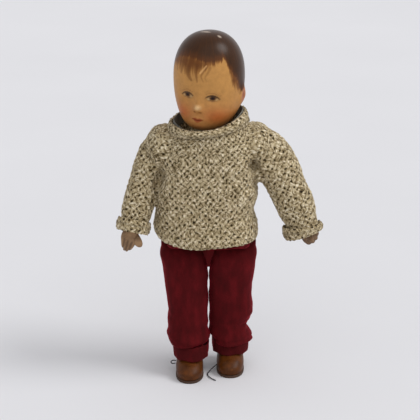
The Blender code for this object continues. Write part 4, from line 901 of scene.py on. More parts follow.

# %% [markdown]
# ## Velveteen
#
# The trousers are cotton velveteen: a short cut pile, dyed dark red. Pile swallows light face on and
# glows where one looks along it, which is what the sheen does. Stroking leaves patches that are lighter or
# darker, 8 to 20 mm wide, and the pile itself is a grain of about 0.3 mm, drawn at 0.8 mm. The turn-ups
# are painted darker, as painted shade.

# %% Velveteen
STROKES, PILE = (8, 8, 20), 0.8
velveteen, tree, shader = start_material("velveteen_cotton_dark_red", Roughness=0.9, Sheen_Weight=0.8,
                                         Sheen_Roughness=0.35, Sheen_Tint=colour("#c0243a"),
                                         Specular_IOR_Level=0.1)
place = rest_place(tree)
pile = noise(tree, place, PILE, 2.0)
shade = calculate(tree, "MULTIPLY_ADD", pile, 0.35, noise(tree, stretched(tree, place, STROKES), 1, 3.0))
# painted shade: darker where a piece carries it, as the turn-ups do
shade = calculate(tree, "MULTIPLY_ADD", kept(tree, "soil"), -0.3, shade)
connect(tree, shader, Base_Color=tinted(tree, shade, (0.42, "#400a0c"), (1.0, "#641217"), (0.68, "#4f0c10")),
        Normal=bumps(tree, pile, 0.5, 0.4))


def velvet(name, points, faces, replaced=(), **values):
    """A piece of the trousers."""
    return new_piece(name, points, faces, velveteen, "red_velveteen", replaced, **values)


print("velveteen pile drawn at", PILE, "mm")

# %% [markdown]
# ## Trousers
#
# A leg is a straight tube that is too long: it gathers in rolls on its turn-up. Folds are drawn on the
# unrolled tube as strokes, each with two ends, a reach and a depth; a positive depth is a ridge.

# %% Trouser legs
LEG_SIDES, LEG_ROWS = 96, 92
HIP, ANKLE, HEM_LOW, LEG_TOP = JOINT["left_hip"][2], 23.6, 19.4, 136.7
HIP_FLARE = 2.6    # how far the trousers widen to their top
TOP_ROUND = 131.0  # above this the CAD leg is rounded off
LEG_CREST = 22.5   # how high over the hip the leg's round top goes
CRESTS = np.array((0.7, 0.35, 0.05))  # how deep the rings of the round top are
ROLL = {"right": (32.0, 4.6, 0.55), "left": (29.0, 5.0, 0.9)}  # lowest height, depth, how much less inside
TURN_UP_LOW, TURN_UP_HIGH, TURN_UP_SIDES = 19.2, 32.0, 110
TURN_UP_SIZE, TURN_UP_SHIFT = {"right": 1.13, "left": 1.0}, {"right": 1.4, "left": 0.0}
# how much painted shade darkens the turn-ups
TURN_UP_PAINTED_SHADE = 0.8
LEG_GAP = [  # half the slit between the legs, by height
    (40, 0.15), (47, 0.9), (53, 0.1), (60, 0.9), (67, 0.8), (73, 0.05), (82, 0.05), (88, 0.9), (95, 0.8),
    (99, 0.1), (103, 0.3), (107, 0.95),
]
LEG_FOLDS = {  # angles in degrees from the doll's left and heights of two ends, reach, depth; front is -90
    "left": [(-150, 34.5, 30, 34.5, 1.5, -1.4), (-100, 52, 10, 58, 3.0, -1.1), (-60, 64, 25, 57, 3.5, 0.9),
             (-50, 69, 50, 67, 7.0, 1.4), (-50, 48, 60, 46, 4.5, -3.8), (-75, 40, -20, 48, 2.0, 1.1),
             (-120, 75, -40, 66, 4.0, -0.7), (-60, 88, 20, 96, 6.0, -0.6), (-80, 125, -30, 112, 5.0, 0.8)],
    "right": [(150, 52, 215, 52, 9.0, 2.0), (140, 42, 225, 42, 6.0, 2.4), (-175, 44, -70, 38, 2.0, 0.9),
              (-150, 42, -60, 34, 1.6, -1.3), (160, 68, 230, 60, 3.0, -0.8), (-140, 70, -70, 62, 4.5, -0.6),
              (-130, 100, -60, 92, 6.0, -0.6), (-150, 125, -110, 108, 5.0, 0.7)],
}


def leg_middle(side, height):
    share = np.clip((HIP - height) / (HIP - ANKLE), 0, 1)
    return mix(JOINT[side + "_hip"], ANKLES[side], share) * (1, 1, 0) + Z * height


def apart(first, second):
    """Degrees between two angles."""
    return np.abs((first - second + 180) % 360 - 180)


def leg_rings(side, sign):
    """A leg's rings from its hem to its round top."""
    heights = np.linspace(HEM_LOW, LEG_TOP, LEG_ROWS)
    rings = skin("trouser_leg_" + side, [leg_middle(side, h) for h in heights], LEG_SIDES, reach=60)
    rings = soften(rings, around=8, along=3)
    facing = sign * np.cos(full_turn(LEG_SIDES))
    inner, outer = np.maximum(0, -facing) ** 1.5, np.maximum(0, facing) ** 0.8
    full = rings[np.searchsorted(heights, TOP_ROUND)]
    square = ease((heights - TOP_ROUND) / 2)[:, None] * ease(facing * 2)
    rings[:, :, 0] = mix(rings[:, :, 0], full[:, 0], square)
    gap = read_off(LEG_GAP, heights) * sign + MIDDLE[0]
    nearest = rings[:, :, 0].min(1) if sign > 0 else rings[:, :, 0].max(1)
    rings[:, :, 0] += ((gap - nearest) * ease((heights - 30) / 10))[:, None] * inner
    rings[:, :, 0] += sign * outer * (HIP_FLARE * ease((heights - 112) / 18))[:, None]
    hip = JOINT[side + "_hip"]
    crests = np.repeat(rings[-1:], len(CRESTS), 0)
    crests[..., 1] = hip[1] + (crests[..., 1] - hip[1]) * CRESTS[:, None]
    crests[..., 2] = HIP + np.sqrt(LEG_CREST ** 2 - (crests[..., 1] - hip[1]) ** 2)
    return np.concatenate([rings, crests])


def folded_leg(side, sign, points, outward):
    """A leg's points, moved by its folds and by the roll on its turn-up."""
    off = points - np.array([leg_middle(side, h) for h in points[:, 2]])
    angle, radius = np.degrees(np.arctan2(off[:, 1], off[:, 0])), np.hypot(off[:, 0], off[:, 1])
    push = np.zeros(len(points))
    for a0, z0, a1, z1, reach, depth in LEG_FOLDS[side]:
        inside = (angle - a0) % 360 <= a1 - a0
        share = np.where(inside, (angle - a0) % 360 / (a1 - a0), apart(angle, a0) > apart(angle, a1))
        beyond = np.where(inside, 0, np.radians(np.minimum(apart(angle, a0), apart(angle, a1))) * radius)
        push += depth * np.exp(-((points[:, 2] - mix(z0, z1, share)) ** 2 + (beyond / 2) ** 2) / reach ** 2)
    points = points + outward * push[:, None]
    lowest, depth, less = ROLL[side]
    towards = np.maximum(0, -sign * off[:, 0] / radius) ** 1.5
    depth = depth * (1 + 0.3 * np.sin(np.radians(angle) * 3 + 1)) * (1 - less * towards)
    roll = ease((points[:, 2] - lowest) / 2.5) * (1 - ease((points[:, 2] - lowest - 4) / 12))
    return points + (outward * (1, 1, 0) - 0.5 * Z) * (depth * roll)[:, None]


def turn_up_rings(side, sign):
    """A turn-up's rings, widened and a little wavy."""
    rings = band("turn_up_" + side, leg_middle(side, 27.0) * (1, 1, 0) - Y * 6, TURN_UP_LOW, TURN_UP_HIGH,
                 TURN_UP_SIDES, 22)
    heart = rings.mean((0, 1)) * (1, 1, 0)
    rings = heart + (rings - heart) * (TURN_UP_SIZE[side], TURN_UP_SIZE[side], 1) + TURN_UP_SHIFT[side] * X
    round_leg = full_turn(TURN_UP_SIDES)
    rings[:, :, 2] += 0.5 * (np.sin(round_leg * 5 + sign) + 0.6 * np.sin(round_leg * 9))
    rings[:, :, :2] += (rings - heart)[:, :, :2] * (0.02 * np.sin(round_leg * 7 + 2 * sign))[None, :, None]
    return rings


for side, sign in SIDES.items():
    points, faces = loft(leg_rings(side, sign), caps=(False, True))
    points = folded_leg(side, sign, points, normals_of(points, faces))
    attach(velvet("trouser_cloth_" + side, points, faces, ["trouser_leg_" + side]), side + "_leg")
    points, faces = loft(turn_up_rings(side, sign), loop=True)
    # the turn-up carries painted shade
    hem = velvet("trouser_turn_up_" + side, points, faces, ["turn_up_" + side],
                 soil=np.full(len(points), TURN_UP_PAINTED_SHADE))
    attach(hem, side + "_leg")

# %% [markdown]
# The seat is a band round the hips. Its underside is a lid with room for the legs' round tops, so that
# nothing gapes when a leg swings. The gusset closes the crotch: below it begins the slit between the legs.

# %% Seat and gusset
SEAT_EDGE, SEAT_TOP = 139.4, 166.2
SEAT_DROP, SEAT_TUCK = 7.0, 9.0    # behind, it hangs lower and goes in to the legs
SEAT_ROUND = 23.6                  # radius of the room for the legs' round tops in its underside
SEAT_LOW, SEAT_LOW_BEHIND = 19.8, 17.0  # the underside's least heights over the hip; lower out of sight
SEAT_ROOM, SEAT_ROOM_EDGE = 22, 4  # that room's half length, and how far it fades
LID_ROWS = 24                      # rings of the underside, from its middle to its edge
LID_GAP, LID_TOP = 0.2, 0.6        # how far it stays off the seat's edge, and how far its top is above
CROTCH, CROTCH_TUCK = 118.5, 0.25  # where the slit between the legs begins, and how little hangs below
LEG_HALF, LEG_ROUND = 24.0, 22.0   # half a leg's width, and its round top's radius about the hip


def tucked(heights):
    """Heights of what ends at the crotch, with little left below it."""
    return np.where(heights < CROTCH, mix(CROTCH, heights, CROTCH_TUCK), heights)


rings = band("trousers_seat", MIDDLE, SEAT_EDGE, SEAT_TOP, 100, 16, squareness=4)
edge, heart = rings[rings[..., 2].mean(1).argmin()], rings.mean((0, 1)) * (1, 1, 0)
hanging = ease((rings[..., 1] - MIDDLE[1] - 8) / 14) * ease((SEAT_EDGE - rings[..., 2]) / 9 + 1)
rings = rings - hanging[..., None] * (SEAT_TUCK * Y + SEAT_DROP * Z)
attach(velvet("trouser_seat_cloth", *loft(rings, loop=True), ["trousers_seat"]), "trunk")

inward = np.array([*np.linspace(0.04, 0.97, LID_ROWS), 1.0, 0.97, 0.5, 0.04])[:, None, None]
under = heart + (edge - heart) * inward
ahead = under[..., 1] - JOINT["left_hip"][1]
lowest = np.where(ahead < 0, SEAT_LOW, SEAT_LOW_BEHIND)
groove = HIP + np.sqrt(np.maximum(SEAT_ROUND ** 2 - ahead ** 2, lowest ** 2))
groove = mix(groove, SEAT_EDGE, ease((np.abs(ahead) - SEAT_ROOM) / SEAT_ROOM_EDGE))
under[..., 2] = np.minimum(groove, SEAT_EDGE - LID_GAP)
under[LID_ROWS, :, 2] = SEAT_EDGE + LID_GAP
under[LID_ROWS + 1:, :, 2] = SEAT_EDGE + LID_TOP
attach(velvet("trouser_seat_under", *loft(under, caps=(True, True))), "trunk")

points, faces = merged([solid_of("trousers_gusset")], 0.9)
points = rubbed(points, faces, 4)
across = points[:, 0] - MIDDLE[0]
wide = mix(1.6, 5.0, ease((points[:, 2] - CROTCH) / 16))
rise = np.clip(points[:, 2] - HIP, 0, 0.97 * LEG_ROUND)
valley = LEG_HALF * (1 - np.sqrt(1 - (rise / LEG_ROUND) ** 2)) / np.abs(across).max()
wide = mix(wide, np.maximum(wide, valley), ease((points[:, 1] - 2) / 8))
points[:, 0] = MIDDLE[0] + across * wide
points[:, 2] = tucked(points[:, 2])
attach(velvet("trouser_gusset_cloth", points, faces, ["trousers_gusset"]), "trunk")

# %% [markdown]
# ## Shoe leather
#
# The shoes are soft brown calf, dyed and waxed, with a fine grain. Years of handling have worn the dye in
# patches and scuffed it lighter. Calf grain is 0.3 to 0.5 mm, and is drawn at 0.9 mm.

# %% Shoe leather
GRAIN, WEAR, SCUFFS, LAYERS = 0.9, 7, (3, 5, 2), (6, 6, 0.6)
calf, tree, shader = start_material("calf_leather_waxed_brown", Specular_IOR_Level=0.15, IOR=1.5,
                                    Coat_Weight=0.05, Coat_Roughness=0.35)
place = rest_place(tree)
grain = add(tree, "TexVoronoi", {"Vector": place, "Scale": 1 / GRAIN}, feature="DISTANCE_TO_EDGE")
wear = noise(tree, place, WEAR, 5.0, Roughness=0.6)
scuffed = between(tree, noise(tree, stretched(tree, place, SCUFFS), 1, 4.0), 0.66, 0.76)
dye = tinted(tree, wear, (0.3, "#422008"), (0.75, "#67360f"), (0.5, "#512a08"))
tint = add(tree, "Mix", {0: scuffed, 6: dye, 7: colour("#84501f")}, data_type="RGBA").outputs[2]
connect(tree, shader, Base_Color=tint, Roughness=between(tree, wear, 0.3, 0.7, 0.36, 0.52),
        Normal=bumps(tree, grain.outputs["Distance"], 0.3, 0.3))

sole_leather, tree, shader = start_material("sole_leather_split_tan", Roughness=0.75)
layers = noise(tree, stretched(tree, rest_place(tree), LAYERS), 1, 4.0)
connect(tree, shader, Base_Color=tinted(tree, layers, (0.3, "#2c1a0e"), (0.75, "#553620")),
        Normal=bumps(tree, layers, 0.3, 0.2))
print("calf grain drawn at", GRAIN, "mm")

# %% [markdown]
# ## Shoes
#
# An upper is pulled round like a small bag and sewn to a flat sole. Its skin comes from level rings of the
# CAD upper. Those lie far apart on top of the toe, so each column is spaced out again along its own length.
# The throat is hidden in the turn-up: there the leather turns in and goes down.

# %% Uppers and soles
SHOE_SIDES, SHOE_ROWS = 84, 40
FOOT_FORWARD, HEEL_BACK = 8.5, 15  # the foot's middle and the heel from the ankle
SHOE_SIZE = np.array((1.06, 1.08, 1.0))  # the leather has spread a little in wear
UPPER_HEIGHTS = np.linspace(3.2, 25.3, 46)
THROAT = ((0.95, -0.3), (0.89, 0.3), (0.88, 4), (0.5, 8))  # how wide and how deep the leather turns in
SOLE = [(0.06, 0.975), (0.4, 0.995), (1.3, 1.0), (2.2, 0.995), (2.54, 0.975)]  # height, share of its width
SOLE_CAP = 0.6


def even_columns(rings, rows):
    """Spaces the points of each column evenly along it."""
    run = np.concatenate([np.zeros((1, rings.shape[1])),
                          np.cumsum(np.linalg.norm(np.diff(rings, axis=0), axis=2), 0)])
    made = np.empty((rows, rings.shape[1], 3))
    for column in range(rings.shape[1]):
        stops = np.linspace(0, run[-1, column], rows)
        for axis in range(3):
            made[:, column, axis] = np.interp(stops, run[:, column], rings[:, column, axis])
    return made


for side in SIDES:
    heel = ANKLES[side] + Y * HEEL_BACK
    lean = ease((UPPER_HEIGHTS - 8) / 16)
    middles = [ANKLES[side] - Y * FOOT_FORWARD * (1 - 0.87 * t) + Z * h for h, t in zip(UPPER_HEIGHTS, lean)]
    rings = skin("shoe_upper_" + side, middles, SHOE_SIDES, reach=60)
    rings = soften(even_columns(soften(rings, around=5, along=3), SHOE_ROWS), along=6)
    rings = heel + (rings - heel) * SHOE_SIZE
    rim, heart = rings[-1], rings[-1].mean(0)
    turned_in = [heart + (rim - heart) * size - Z * drop for size, drop in THROAT]
    points, faces = loft(np.concatenate([rings, turned_in]), caps=(True, True))
    upper = new_piece("shoe_calf_" + side, points, faces, calf, "shoe_leather", ["shoe_upper_" + side])
    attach(upper, side + "_leg")
    heights, widths = np.array(SOLE).T
    middles = [ANKLES[side] - Y * FOOT_FORWARD + Z * h for h in heights]
    rings = soften(skin("shoe_sole_" + side, middles, SHOE_SIDES, reach=60), around=5)
    rings = heel + (rings - heel) * SHOE_SIZE
    heart = rings.mean(1, keepdims=True)
    rings = heart + (rings - heart) * widths[:, None, None]
    inner = heart + (rings - heart) * SOLE_CAP
    rings = np.concatenate([inner[:1], rings, inner[-1:]])
    sole = new_piece("shoe_sole_leather_" + side, *loft(rings, caps=(True, True)), sole_leather,
                     "sole_leather", ["shoe_sole_" + side])
    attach(sole, side + "_leg")

# %% [markdown]
# ## Hands
#
# The hands are stuffed mittens of flesh-brown cotton, darkened by handling. The arm's solid is merged into
# an even skin and rubbed smooth; three stitched lines then divide the fingers. Painted shade darkens these
# lines, and the whole left hand.

# %% Hand cotton and hands
hand_cloth = woven("cotton_sateen_flesh_brown", "#664b33", "#ac8862", 0.9, 0.7, 0.12, Sheen_Weight=0.1)
FINGER_LINES = (-0.5, 0.0, 0.5)  # across the palm, as shares of half its width
PALM_HALF = 9.5
GROOVE_WIDTH, GROOVE_DEPTH = 0.9, 0.8
HAND_PAINTED_SHADE = {"right": 0.0, "left": 0.4}  # the left hand is painted darker all over: painted shade
ARM_ROOM = 0.8  # how much further from the torso the stuffed arm's root is
MITTEN = {"right": (1.2, 0.3, -1.5), "left": (0.92, -0.15, -1.2)}  # stretch, taper and lean of the fingers
THUMB_TURN = {"right": radians(7), "left": radians(-10)}
THUMB_SIZE = {"right": np.array((1.45, 1.3, 1.02)), "left": np.array((1.0, 1.0, 0.85))}
THUMB_SHIFT = {"right": -0.6 * X + 4.8 * Z, "left": -1.5 * X + 2.0 * Z}

for side, sign in SIDES.items():
    points, faces = merged([solid_of("arm_" + side)], 1.0)
    points = rubbed(points, faces, 8)
    wrist, heading, upward, sideways = arm_frame(side, wrist_travel(side))
    turned = radians(ARM[side]["turn_out"])
    reach = heading * cos(turned) + upward * sin(turned)
    spread = upward * cos(turned) - heading * sin(turned)
    along, wide = (points - wrist) @ reach, (points - wrist) @ spread
    outward = normals_of(points, faces)
    # painted shade: the left hand is darker all over
    soil = np.full(len(points), HAND_PAINTED_SHADE[side])
    on_fingers = ease((along - 6) / 3) * ease((22 - along) / 5)
    for place in FINGER_LINES:
        groove = np.exp(-((wide - place * PALM_HALF * 0.95) / GROOVE_WIDTH) ** 2) * on_fingers
        points = points - outward * (GROOVE_DEPTH * groove)[:, None]
        # painted shade along each finger groove
        soil = np.maximum(soil, groove)
    points = points + np.outer(sign * ARM_ROOM * ease((-along - 45) / 10), X)
    stretch, taper, lean = MITTEN[side]
    narrow = wide * (1 - taper * ease(along / 20)) + lean * ease(along / 16)
    points = points + np.outer(np.maximum(along, 0) * (stretch - 1), reach) + np.outer(narrow - wide, spread)
    hand = new_piece("hand_" + side, sway(side, points), faces, hand_cloth, "hand_cloth", ["arm_" + side],
                     soil=soil)
    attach(hand, side + "_arm")
    points, faces = merged([solid_of("thumb_" + side)], 0.7)
    points = rubbed(points, faces, 6)
    root = points[points[:, 2] > points[:, 2].max() - 3].mean(0)
    points = root + spun((points - root) * THUMB_SIZE[side], THUMB_TURN[side], 0, 2) + THUMB_SHIFT[side]
    # the thumb carries its hand's painted shade
    thumb = new_piece("hand_thumb_" + side, sway(side, points), faces, hand_cloth, "hand_cloth",
                      ["thumb_" + side], soil=np.full(len(points), HAND_PAINTED_SHADE[side]))
    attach(thumb, side + "_arm")

# %% [markdown]
# ## Head
#
# The head is moulded cloth under several coats of oil paint. Its shape is an egg with a face pressed into
# it, so it is drawn from a formula: rings from the chin to the crown, with soft bumps and hollows for nose,
# lips, cheeks, eyes and ears. The grid is finer on the face than behind.

# %% The head's surface
HEAD_TURN = radians(-22)
HEAD_CENTRE, HEAD_SET_BACK = 306.3, 1.5
HALF_WIDTH, FRONT, BACK, CROWN, CHIN = 34.5, 35.0, 38.0, 44.0, 47.0
CHIN_DROP = 4.5  # how much lower the chin is than the back of the head
FACE_ROLL, FACE_ORIGIN = radians(6), np.array((0.9, -38.0))  # the face leans; its origin is the mouth
RELIEF = [  # across, up, reach across, reach up, depth, all from the mouth; the same on both sides
    (0, 13, 4.2, 4.6, 4.6), (0, 21, 3.4, 7, 1.6), (0, 1.2, 6, 3.4, 1.5), (0, -6, 8, 4, 2.0),
    (19, 9, 9, 9, 1.8), (12.5, 23.5, 6.5, 4.5, -2.0), (12.3, 23.6, 5.2, 2.6, 1.1), (12.6, 27.4, 6.0, 1.4, 0.6),
    (3.2, 10.6, 1.7, 1.7, 0.9), (2.4, 9.2, 0.9, 0.8, -0.8), (0, 0.2, 5.2, 0.6, -0.7), (0, 1.7, 4.2, 1.1, 0.5),
    (0, -1.5, 3.8, 1.4, 0.6), (0, 5.2, 1.2, 2.4, -0.35), (12.4, 20.6, 5, 1.2, -0.35),
]
EAR_LOBE, EAR_BOWL = (2.5, -17.5), (1.2, -16.5)  # back and up, in the head's own frame
HEAD_SIDES, HEAD_ROWS = 200, 160


def roundness(level, power):
    return (1 - np.abs(level) ** power) ** (1 / power)


def dab(x, z, at, wide, tall):
    """1 at a place, falling softly to 0 over a width and a height."""
    return np.exp(-((x - at[0]) / wide) ** 2 - ((z - at[1]) / tall) ** 2)


def face_place(x, z):
    """Across and up from the mouth, along the leaning face."""
    x, z = x - FACE_ORIGIN[0], z - FACE_ORIGIN[1]
    return x * cos(FACE_ROLL) - z * sin(FACE_ROLL), x * sin(FACE_ROLL) + z * cos(FACE_ROLL)


def head_points(turn, level):
    """Points of the head in its own frame; turn is 0 at the middle of the face, level runs -1 to 1."""
    z = level * np.where(level > 0, CROWN, CHIN)
    z = z - CHIN_DROP * ease((-level - 0.5) / 0.5) * ease(np.cos(turn) * 0.8 + 0.5)
    girth, jaw = roundness(level, 2.3), ease(-level)
    width = HALF_WIDTH * np.where(level < 0, roundness(level, 3), girth) * (1 - 0.06 * jaw)
    front = FRONT * np.where(level < 0, roundness(level, 4.5), girth) * (1 - 0.05 * jaw)
    back = BACK * girth * (1 - 0.24 * jaw)
    x = width * np.sin(turn)
    y = -np.where(np.cos(turn) > 0, front, back) * np.cos(turn)
    across, up = face_place(x, z)
    facing = np.maximum(0, np.cos(turn)) ** 0.5 * girth ** 0.3
    relief = sum(depth * dab(np.abs(across), up, (at, height), wide, tall)
                 for at, height, wide, tall, depth in RELIEF)
    ear = 4.2 * dab(y, z, EAR_LOBE, 5.0, 9) - 2.2 * dab(y, z, EAR_BOWL, 2.2, 5)
    ear = ear * np.sign(np.sin(turn)) * (np.abs(np.sin(turn)) > 0.5)
    return np.stack([x + ear, y - relief * facing, z], -1)


turn = np.linspace(-pi, pi, HEAD_SIDES, endpoint=False)
turn = turn - 0.5 * np.sin(turn)  # finer in front
level = np.sin(np.linspace(-1, 1, HEAD_ROWS) * pi / 2 * 0.985)
level = np.sign(level) * np.abs(level) ** np.where(level < 0, 0.9, 1)
shell, faces = loft(head_points(*np.meshgrid(turn, level)), caps=(True, True))
print("head grid", HEAD_ROWS, "by", HEAD_SIDES)

# %% [markdown]
# ## Painting the head
#
# The maker painted the head by hand: a tan skin, blushed cheeks, brown hair with a wispy fringe that is
# brushed to one side, small dark eyes and a soft mouth. The paint is laid on the grid's points the same
# way, coat by coat, each with its own mask. Eyes and mouth are placed from the mouth along the face, hair
# by its angle round the head and its height. Some coats are painted light and shade: the face is lighter
# towards the forehead, the nose has a painted highlight, and the nostrils and eye sockets have painted shade.

# %% Coats of paint
paint = np.tile(np.array(colour("#b98348")), (len(shell), 1))
across, up = face_place(shell[:, 0], shell[:, 2])
azimuth = np.degrees(np.arctan2(shell[:, 0], -shell[:, 1]))
height = shell[:, 2]
in_front = shell[:, 1] < 8
EYE_LINES = [  # places along each line, its widths, colour and strength
    (((6.2, 24.2), (9.2, 26.0), (12.8, 26.6), (16.4, 25.2), (18.8, 23.0)), (0.4, 0.8, 0.95, 0.7, 0.3),
     "#261207", 0.92),                                                                 # lashes
    (((8.4, 21.9), (12.2, 21.2), (16.4, 21.9)), (0.35, 0.45, 0.35), "#6e4526", 0.55),  # lower lid
    (((6.8, 28.0), (12.6, 29.3), (18.6, 27.0)), (0.4, 0.6, 0.4), "#85572c", 0.55),     # crease of the lid
]
LIP_LINES = [
    (((-5.5, 0.9), (-2.2, 1.6), (0, 1.0), (2.2, 1.5), (5.0, 1.1)), (0.5, 1.2, 1.1, 1.2, 0.5), "#8a3614", 0.9),
    (((-3.4, 0.2), (0, -0.7), (3.4, 0.3)), (0.6, 1.2, 0.6), "#9c441c", 0.85),
    (((-5.0, 0.8), (0, 0.3), (4.8, 0.9)), (0.3, 0.45, 0.3), "#5a2412", 0.8),           # between the lips
]


def coat(mask, code, strength=1.0):
    """Lays a colour over the paint where the mask is."""
    share = np.clip(mask, 0, 1)[:, None] * strength
    paint[:] = paint * (1 - share) + np.array(colour(code)) * share


def spot(x, z, wide, tall, soft):
    """A mask: 1 inside an ellipse on the face, fading over its soft edge."""
    return ease((1 + soft - np.hypot((across - x) / wide, (up - z) / tall)) / (2 * soft)) * in_front


def stroke(places, widths, x_of, z_of, fade=1.0):
    """A mask along a line of places that tapers with its widths and fades to its end."""
    mask = np.zeros(len(shell))
    line = smooth_route([(*place, 0) for place in places], 8)[:, :2]
    wide = np.interp(np.linspace(0, 1, len(line)), np.linspace(0, 1, len(widths)), widths)
    for place, width, thin in zip(line, wide, np.linspace(1, fade, len(line))):
        mask = np.maximum(mask, thin * ease(1.5 - np.hypot(x_of - place[0], z_of - place[1]) / width))
    return mask


def face_lines(lines, sign=1):
    for places, widths, code, strength in lines:
        coat(stroke([(sign * x, z) for x, z in places], widths, across, up) * in_front, code, strength)


coat(ease((up - 8) / 30) * in_front, "#c08d4c", 0.6)                   # painted light: the face is lighter towards the forehead
for sign in (-1, 1):
    away = np.hypot((across - 17.0 * sign) / 11, (up - 5.5) / 9)
    coat(np.exp(-away ** 2 * 1.1) * in_front, "#b5531f", 0.68)         # blush
coat(spot(0, -7, 8, 4, 0.9), "#b5653a", 0.35)                          # chin
coat(spot(0.5, 14.0, 2.6, 2.2, 0.9), "#e6c08c", 0.75)                  # painted highlight on the tip of the nose
for sign in (-1, 1):
    coat(spot(2.6 * sign, 9.0, 1.5, 0.8, 0.5), "#7a4520", 0.7)         # painted shade in the nostril's hollow
    coat(spot(12.2 * sign, 23.6, 6.4, 2.8, 0.5), "#8f6a3c", 0.6)       # shaded socket
    coat(spot(9.0 * sign + 0.3, 23.2, 1.7, 0.9, 0.5), "#c9ac7c", 0.6)  # white, on both sides of the iris
    coat(spot(15.6 * sign, 23.0, 1.3, 0.8, 0.5), "#c9ac7c", 0.5)
    coat(spot(12.4 * sign, 24.0, 2.8, 2.0, 0.35), "#422008")           # iris
    coat(spot(12.4 * sign, 24.3, 1.4, 1.1, 0.4), "#120803")            # pupil
    face_lines(EYE_LINES, sign)
face_lines(LIP_LINES)
print("painted a face on", in_front.sum(), "points")

# %% [markdown]
# The hair is one dark brown coat over a thin orange-brown wash, which shows along its edge and in the
# fringe. Hair and fringe each end at a line of heights round the head. Streaks follow the hair down, and
# single strokes of the brush hang over the forehead and the temples. A pale stroke where the fringe parts
# is a painted highlight. The ears are painted pinker and paler, partly as a painted highlight, with painted
# shade in their hollows; pale spots lie on the crown.

# %% Hair
HAIR_LINE = [  # angle and height
    (-180, -31), (-120, -30), (-104, -26), (-97, -8), (-86, -14), (-76, -9), (-66, 0), (-60, 11), (-54, 18),
    (-40, 22.5), (-19, 23.4), (-3, 22.6), (8, 20.6), (15, 19.6), (26, 19.4), (40, 20.8), (50.5, 22.8),
    (54, 17), (57, 13), (61, 9), (66, 5), (71, 2), (77, -4), (86, -13), (97, -8), (104, -26), (120, -30),
]
FRINGE_LINE = [
    (-75, -12), (-62, 2), (-55, 13), (-45, 10), (-31, 6), (-24, 8), (-20, 4), (-12, 1.5), (-6, 6), (3, 1),
    (8, 8), (14, 9), (18.5, 11.5), (29, 15), (40, 17.5), (50.5, 20.5), (53, 15), (55.5, 11), (59, 4), (62, -5),
    (66, -10), (70, -8), (75, -13), (80, -14),
]
NO_FRINGE = 99
FRINGE = [  # places by angle and height, widths, strength
    ([(-24, 23), (-26, 15), (-28, 8)], (2.8, 2.2, 1.1), 0.75),
    ([(-40, 22), (-42, 15), (-40, 9)], (2.4, 1.6, 0.7), 0.5),
    ([(-8, 22), (-13, 12.5), (-12.5, 7), (-7, 2)], (3.4, 2.8, 2.2, 1.2), 0.9),
    ([(-19, 20), (-21, 13), (-19, 7)], (2.0, 1.3, 0.6), 0.55),
    ([(2, 19), (0.5, 11), (0.9, 8), (3, 1)], (2.4, 1.7, 1.3, 0.8), 0.8),
    ([(-3, 18), (-5, 12), (-4, 6)], (1.6, 1.0, 0.5), 0.5),
    ([(17, 15), (12, 10), (9.5, 6), (13, 1)], (1.8, 1.1, 0.8, 0.5), 0.6),
    ([(24, 14), (19, 8.5), (15.7, 4.7), (19, 1)], (1.4, 0.9, 0.6, 0.4), 0.4),
    ([(-50, 20), (-51, 14), (-49, 9)], (2.2, 1.2, 0.5), 0.5),
    ([(8, 18), (7, 13), (5.5, 9)], (1.8, 1.2, 0.6), 0.6),
    ([(64, 0), (68, -6), (70, -11)], (1.6, 1.0, 0.3), 0.7),
    ([(70, 0), (75, -8), (78, -13)], (1.8, 1.0, 0.3), 0.7),
    ([(78, -4), (82, -10), (83, -15)], (1.8, 1.0, 0.3), 0.7),
    ([(60, 8), (62, 0), (64, -9)], (1.4, 0.8, 0.3), 0.6),
    ([(-66, 4), (-68, -6), (-70, -12)], (1.6, 1.0, 0.3), 0.6),
    ([(-76, -4), (-78, -10), (-80, -16)], (1.6, 1.0, 0.3), 0.6),
]
PARTING_HIGHLIGHT = [(8, 9.4), (17.5, 16)]  # a pale stroke where the fringe parts: painted highlight over the skin between the strands
STREAKS = (0.5, 0.9, 1.7, 2.9)    # how often streaks of each kind follow each other
CROWN_PALE_SPOTS = ((-1, -6.0, 5.0, 1.6), (14.0, -8.0, 2.0, 1.5), (-12, 6, 1.5, 0.6), (5, 10, 2, 0.5))  # pale spots on the crown
MM_PER_DEGREE = 0.58              # on the forehead
rng = np.random.default_rng(5)
streak = sum(np.sin(azimuth * often + start + 0.05 * often * height)
             for often, start in zip(STREAKS, rng.uniform(0, tau, len(STREAKS)))) / len(STREAKS)


def hair_stroke(places, widths, fade=1.0):
    places = [(angle * MM_PER_DEGREE, z) for angle, z in places]
    return stroke(places, widths, azimuth * MM_PER_DEGREE, height, fade)


line = read_off(HAIR_LINE, azimuth, period=360)
fringe = read_off(FRINGE_LINE, azimuth, left=NO_FRINGE, right=NO_FRINGE)
fall = np.clip((height - fringe + 2.5 * streak) / np.maximum(line - fringe, 0.8), 0, 1)
wash = ease(fall * 1.4) * (np.abs(azimuth) < 82) * (0.8 + 0.3 * streak)
coat(wash, "#8f5a22", 0.9)
coat(wash * ease((fall - 0.25) / 0.5), "#643610", 0.85)
for places, widths, strength in FRINGE:
    coat(hair_stroke(places, widths, 0.6), "#683a10", strength)
# painted highlight where the fringe parts
coat(hair_stroke(PARTING_HIGHLIGHT, (0.9, 0.7)), "#dba66a", 0.75)
hair = ease((height - line + 1.2 * streak) / 2.4 + 0.5)
coat(hair, "#552d0a")
deep = ease((height - line - 1 + 2.5 * streak) / 7)
coat(deep, "#371d06", 0.95)
coat(deep * ease(streak * 1.6), "#4c2a0a", 0.5)
at_side = np.abs(shell[:, 0]) > 25
coat(ease(dab(shell[:, 1], height, EAR_LOBE, 4.8, 8.5) * at_side * 2.4 - 0.6), "#c4886a", 0.9)  # ears pinker and paler: pink paint with a painted highlight
